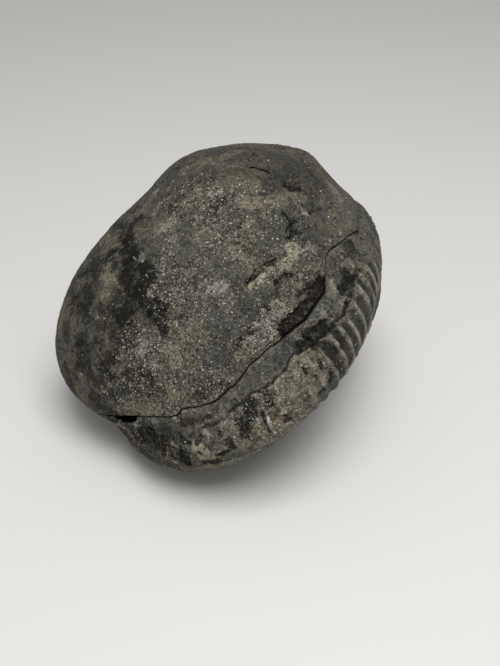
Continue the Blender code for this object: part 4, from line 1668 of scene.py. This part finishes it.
# %% Strew flecks and specks
FLECKS = {"colour": paint(164, 159, 143), "size": 1.1, "cluster": 5.0, "amount": 0.75, "shift": 0.2}
BRIGHT_SPECKS = {"colour": paint(236, 230, 214), "size": 0.48, "cluster": 3.5, "amount": 0.95, "shift": 0.0}
DARK_SPECKS = {"colour": paint(24, 23, 20), "size": 0.7, "cluster": 3.0, "amount": 0.85, "shift": 0.5}
FLECK_SHARE, BRIGHT_SHARE, DARK_SHARE = 0.85, 1.25, (0.05, 0.08)
RUBBED_SHARE, SHARE_ANYWHERE = 0.6, 0.04
FILM_HIDES_SPECKS, SLATE_HIDES_SPECKS = 0.5, 0.9


def speckled(tree, colour, masks, stone, shows):
    """Flecks and specks over a colour, and the masks of the bright and the dark specks."""
    grainy = attribute(tree, "grainy")
    clear = less(tree, masks["film"], FILM_HIDES_SPECKS)
    clear = calc(tree, "MULTIPLY", clear, less(tree, masks["slate"], SLATE_HIDES_SPECKS))
    share = calc(tree, "MULTIPLY_ADD", grainy, stone["specks"], SHARE_ANYWHERE)
    share = calc(tree, "MULTIPLY", clear, calc(tree, "MULTIPLY_ADD", masks["pale"], RUBBED_SHARE, share))
    flecks = specks(tree, colour, FLECKS, calc(tree, "MULTIPLY", share, FLECK_SHARE), stone["pattern"])
    bright_share = calc(tree, "MULTIPLY", share, BRIGHT_SHARE)
    bright = specks(tree, flecks["Color"], BRIGHT_SPECKS, bright_share, stone["pattern"])
    dark_share = calc(tree, "MULTIPLY", calc(tree, "MULTIPLY_ADD", grainy, *DARK_SHARE), shows)
    dark = specks(tree, bright["Color"], DARK_SPECKS, dark_share, stone["pattern"])
    return dark["Color"], bright["Mask"], dark["Mask"]


print("specks measure about", BRIGHT_SPECKS["size"], "to", FLECKS["size"], "mm")

# %% [markdown]
# ## Painted shade in pits, breaks and cracks
# Hollows get little light, so pits, the feet of scales, the rubble in the flake, the foot of the ledge,
# the hairline cracks and the faces inside the split are all painted darker. That dark is painted shade,
# and in the rubble it is partly the broken stone's own colour too. Each reads its own stored number.

# %% Darken what lies low
# Pits and the feet of scales get painted shade in this colour.
PIT_SHADE_COLOUR, PIT_SHADE_AMOUNT = paint(28, 27, 23), 0.5
RUBBLE_DARK_AND_SHADE, INSIDE_SHADE_COLOUR, CRACK_SHADE_COLOUR = paint(13, 12, 10), paint(12, 11, 10), paint(14, 13, 12)
RUBBLE = {"colour": paint(74, 66, 53), "size": 0.8, "levels": (0.46, 0.66), "amount": 0.9}
BROKEN_LEVELS, BROKEN_AMOUNT = (0.25, 0.6), 0.95
# The ledge's foot gets a painted shadow: a ragged dark line where the bare strip drops below the ribbed skin.
LEDGE_SHADOW = {"colour": paint(20, 19, 17), "size": 2.0, "levels": (0.3, 0.5), "amount": 1.0}
FOOT_STARTS, FOOT_ENDS = (-0.5, 0.0), (1.5, 0.3)  # degrees above the ledge
FOOT_FADES = ((58.0, 48.0, 0.15), (-42.0, -20.0, 0.25))  # turns where the foot fades, and what is left of it
CRACK_WIDTH, CRACK_SHADE_AMOUNT = (0.2, 0.07), 0.92  # millimetres from a crack where its line starts and is full


def ledge_shadow(tree):
    """1 along the foot of the ledge, where the painted shadow goes."""
    above, around = attribute(tree, "above_ledge"), attribute(tree, "around")
    foot = calc(tree, "MULTIPLY", ramp(tree, above, *FOOT_STARTS), ramp(tree, above, *FOOT_ENDS))
    for start, full, least in FOOT_FADES:
        foot = calc(tree, "MULTIPLY", foot, ramp(tree, around, start, full, least, 1.0))
    return foot


def darkened(tree, colour, stone):
    """Painted shade in pits, rubble, the inside of the split, the ledge's foot and cracks, and the mask of
    the cracks.
    """
    sunken = calc(tree, "MAXIMUM", attribute(tree, "pit"), attribute(tree, "scale_foot"))
    colour = mixed(tree, colour, PIT_SHADE_COLOUR, calc(tree, "MULTIPLY", sunken, PIT_SHADE_AMOUNT))
    # The rubble is brown over near-black, which is partly the broken stone's own dark and partly painted
    # shade between its lumps.
    rubble = patches(tree, RUBBLE_DARK_AND_SHADE, RUBBLE, 1.0)
    broken = ramp(tree, attribute(tree, "broken"), *BROKEN_LEVELS, 0.0, BROKEN_AMOUNT)
    colour = mixed(tree, colour, rubble, broken)
    # The faces inside the split get painted shade: near-black, as the deep gap is.
    colour = mixed(tree, colour, INSIDE_SHADE_COLOUR, attribute(tree, "inner"))
    foot = calc(tree, "MULTIPLY", ledge_shadow(tree), stone["ledge shadow"])
    colour = patches(tree, colour, LEDGE_SHADOW, foot)
    # The hairline cracks' dark line is painted shade inside each crack.
    line = ramp(tree, calc(tree, "ABSOLUTE", attribute(tree, "crack")), *CRACK_WIDTH)
    line = calc(tree, "MULTIPLY", line, attribute(tree, "crack_here"))
    return mixed(tree, colour, CRACK_SHADE_COLOUR, calc(tree, "MULTIPLY", line, CRACK_SHADE_AMOUNT)), line


print("a hairline crack is drawn", 2.0 * CRACK_WIDTH[0], "mm wide at most")

# %% [markdown]
# ## Two stone finishes
# The two halves are one stone, but the cover is weathered browner and the ammonite half is cooler and
# more veined. So one function lays all the layers, and each half has its own few values. The stone is
# matt: only the film and the slate are a little smoother. What is too small for the mesh goes into a
# bump.

# %% Make the stone materials
STONES = {
    "ammonite_stone": {"dark": paint(85, 86, 80), "warm": paint(104, 101, 89), "pattern": 0.3,
                       "specks": 1.0, "ledge shadow": 0.9, "dark veins": 0.6, "pale veins": 0.75},
    "cover_stone": {"dark": paint(82, 81, 74), "warm": paint(98, 94, 81), "pattern": 0.0,
                    "specks": 0.9, "ledge shadow": 0.0, "dark veins": 0.35, "pale veins": 0.45},
}
ROUGHNESS, FILM_SMOOTHS, SLATE_SMOOTHS, SHINE = 0.72, -0.2, -0.08, 0.12
BUMP_DEPTH = 0.45  # millimetres
BUMP_PARTS = (0.6, -0.6, -1.5, -2.0)  # how high bright specks, dark specks, dark veins and cracks stand


def new_material(name):
    """A material with nodes, its tree and its shader."""
    material = bpy.data.materials.new(name)
    material.use_nodes = True
    return material, material.node_tree, material.node_tree.nodes["Principled BSDF"]


def stone_finish(name):
    """A layered stone material."""
    material, tree, shader = new_material(name)
    stone, shows = STONES[name], unhidden(tree)
    ground = stone_ground(tree, stone, shows)
    colour, masks = marked(tree, ground)
    colour, dark_veins = veined(tree, colour, masks, stone)
    colour = toned_ribs(tree, colour, masks)
    colour, bright_specks, dark_specks = speckled(tree, colour, masks, stone, shows)
    colour, cracks = darkened(tree, colour, stone)
    feed(tree, shader.inputs["Base Color"], colour)
    rough = calc(tree, "MULTIPLY_ADD", masks["film"], FILM_SMOOTHS, ROUGHNESS)
    feed(tree, shader.inputs["Roughness"], calc(tree, "MULTIPLY_ADD", masks["slate"], SLATE_SMOOTHS, rough))
    shader.inputs["Specular IOR Level"].default_value = SHINE
    height = ground["Height"]
    for mask, part in zip((bright_specks, dark_specks, dark_veins, cracks), BUMP_PARTS):
        height = calc(tree, "MULTIPLY_ADD", mask, part, height)
    bump = put(tree, "ShaderNodeBump", {"Height": height, "Strength": 1.0, "Distance": BUMP_DEPTH * MM})
    feed(tree, shader.inputs["Normal"], bump.outputs["Normal"])
    return material


ammonite_stone = stone_finish("ammonite_stone")
cover_stone = stone_finish("cover_stone")
print("materials:", ammonite_stone.name, cover_stone.name)

# %% [markdown]
# ## The grains' own finish
# The grains that stand out of the stone are pale and slightly glassy, and no two are quite alike. So a
# coarse noise gives each a tone of its own, and the paler ones shine a little more.

# %% Make the grains' material
GRAIN_DARK, GRAIN_PALE = paint(84, 82, 72), paint(168, 163, 146)
GRAIN_TONE_SIZE, GRAIN_LEVELS, GRAIN_ROUGHNESS = 1.0, (0.35, 0.65), (0.55, 0.3)


def grain_finish(name):
    """Pale, slightly glassy grains, each a little different."""
    material, tree, shader = new_material(name)
    tone = ramp(tree, noise_of(tree, object_place(tree), GRAIN_TONE_SIZE, EVEN), *GRAIN_LEVELS)
    feed(tree, shader.inputs["Base Color"], mixed(tree, GRAIN_DARK, GRAIN_PALE, tone))
    feed(tree, shader.inputs["Roughness"], ramp(tree, tone, 0.0, 1.0, *GRAIN_ROUGHNESS))
    return material


grain_stone = grain_finish("mineral_grain")
print("material:", grain_stone.name)

# %% [markdown]
# ## Grow the surfaces
# Now the trees run. The ribs come first, since weather works on the ribbed stone. The two halves read
# the weather's noise at different places, so their lumps and pits differ.

# %% Run the trees on both halves
grow(ammonite, ribs, RIB, ammonite_stone)
grow(ammonite, weather, WEATHER | {"Pattern": STONES["ammonite_stone"]["pattern"]}, ammonite_stone)
grow(cover, weather, WEATHER | {"Pattern": STONES["cover_stone"]["pattern"]}, cover_stone)

# %% [markdown]
# ## Strew the grains
# The grains are strewn last, over a copy of each finished half, as a mesh of their own: a half is
# already as fine as a mesh should be.

# %% Run the tree of grains
def strew(piece, name):
    """A mesh of grains over a piece."""
    strewn = bpy.data.objects.new(name, piece.data.copy())
    bpy.context.scene.collection.objects.link(strewn)
    grow(strewn, grains, GRAINS | {"Density": GRAIN_DENSITY[piece.name]}, grain_stone)
    return strewn


ammonite_grains = strew(ammonite, "ammonite_grains")
cover_grains = strew(cover, "cover_grains")

# %% [markdown]
# ## Join the frame
# Each half stands in for its plain solid, which is hidden. The grains ride along, since they are part of
# the same stone. Everything rides on the one body.

# %% Ride and replace
HALVES = (
    (ammonite, "ammonite_half", "ammonite_stone"),
    (cover, "cover_half", "cover_stone"),
)
for piece, node, slot in HALVES:
    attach(piece, "root")
    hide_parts(node)
for piece, slot in ((ammonite_grains, "ammonite_stone"), (cover_grains, "cover_stone")):
    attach(piece, "root")
print("pieces placed:", [piece.name for piece in (ammonite, cover, ammonite_grains, cover_grains)])

# %% [markdown]
# ## The floor
# The stone rests on a pale, matt floor, which is so wide that the camera sees none of its edges. It is
# a stage, not a piece, so that it never counts as part of the object.

# %% Lay the floor
FLOOR_HALF, FLOOR_COLOUR = 2.0, paint(217, 216, 213)  # half the floor's width in metres
FLOOR_ROUGHNESS, FLOOR_SHINE = 0.95, 0.1


def matt_floor():
    """A wide pale floor."""
    sheet = bmesh.new()
    bmesh.ops.create_grid(sheet, x_segments=2, y_segments=2, size=FLOOR_HALF)
    mesh = bpy.data.meshes.new("floor")
    sheet.to_mesh(mesh)
    sheet.free()
    material, tree, shader = new_material("pale_floor")
    shader.inputs["Base Color"].default_value = FLOOR_COLOUR
    shader.inputs["Roughness"].default_value = FLOOR_ROUGHNESS
    shader.inputs["Specular IOR Level"].default_value = FLOOR_SHINE
    mesh.materials.append(material)
    floor = bpy.data.objects.new("floor", mesh)
    bpy.context.scene.collection.objects.link(floor)
    return floor


floor = matt_floor()
print("the floor measures", floor.dimensions[:2], "m")

# %% [markdown]
# ## Light
# A large soft light stands above the stone, a little to the front, as near a window on a grey day.
# Plenty of even light comes from all round, which keeps the undersides from going black.

# %% Light the stone
WINDOW_PLACE, WINDOW_AIM = (0.04, -0.14, 0.37), (0.0, 0.0, 0.02)  # metres
WINDOW_SIZE, WINDOW_POWER, SKY_STRENGTH = 0.22, 1.33, 0.41
WHITE = (1.0, 1.0, 1.0, 1.0)
world = bpy.data.worlds.new("studio")
world.use_nodes = True
sky = world.node_tree.nodes["Background"]
sky.inputs["Color"].default_value = WHITE
sky.inputs["Strength"].default_value = SKY_STRENGTH
bpy.context.scene.world = world
bpy.context.scene.view_settings.view_transform = "Standard"

light_data = bpy.data.lights.new("window", "AREA")
light_data.size = WINDOW_SIZE
light_data.energy = WINDOW_POWER
window = bpy.data.objects.new("window", light_data)
window.location = WINDOW_PLACE
window.rotation_euler = (Vector(WINDOW_AIM) - window.location).to_track_quat("-Z", "Y").to_euler()
bpy.context.scene.collection.objects.link(window)
print("the window stands", round((Vector(WINDOW_AIM) - window.location).length, 2), "m from the stone")

# %% [markdown]
# ## Camera
# The camera looks down at the stone from the front. Its tilt is counted from looking straight down.

# %% Place the camera
CAMERA_PLACE = (4.66 * MM, -177.89 * MM, 149.41 * MM)
CAMERA_TILT, CAMERA_LENS, CAMERA_SENSOR = 53.8, 54.05, 36.0  # degrees and millimetres
camera_data = bpy.data.cameras.new("camera")
camera_data.lens = CAMERA_LENS
camera_data.sensor_width = CAMERA_SENSOR
camera = bpy.data.objects.new("camera", camera_data)
camera.location = CAMERA_PLACE
camera.rotation_euler = (math.radians(CAMERA_TILT), 0.0, 0.0)
bpy.context.scene.collection.objects.link(camera)
bpy.context.scene.camera = camera
print("the camera looks down by", 90.0 - CAMERA_TILT, "degrees")
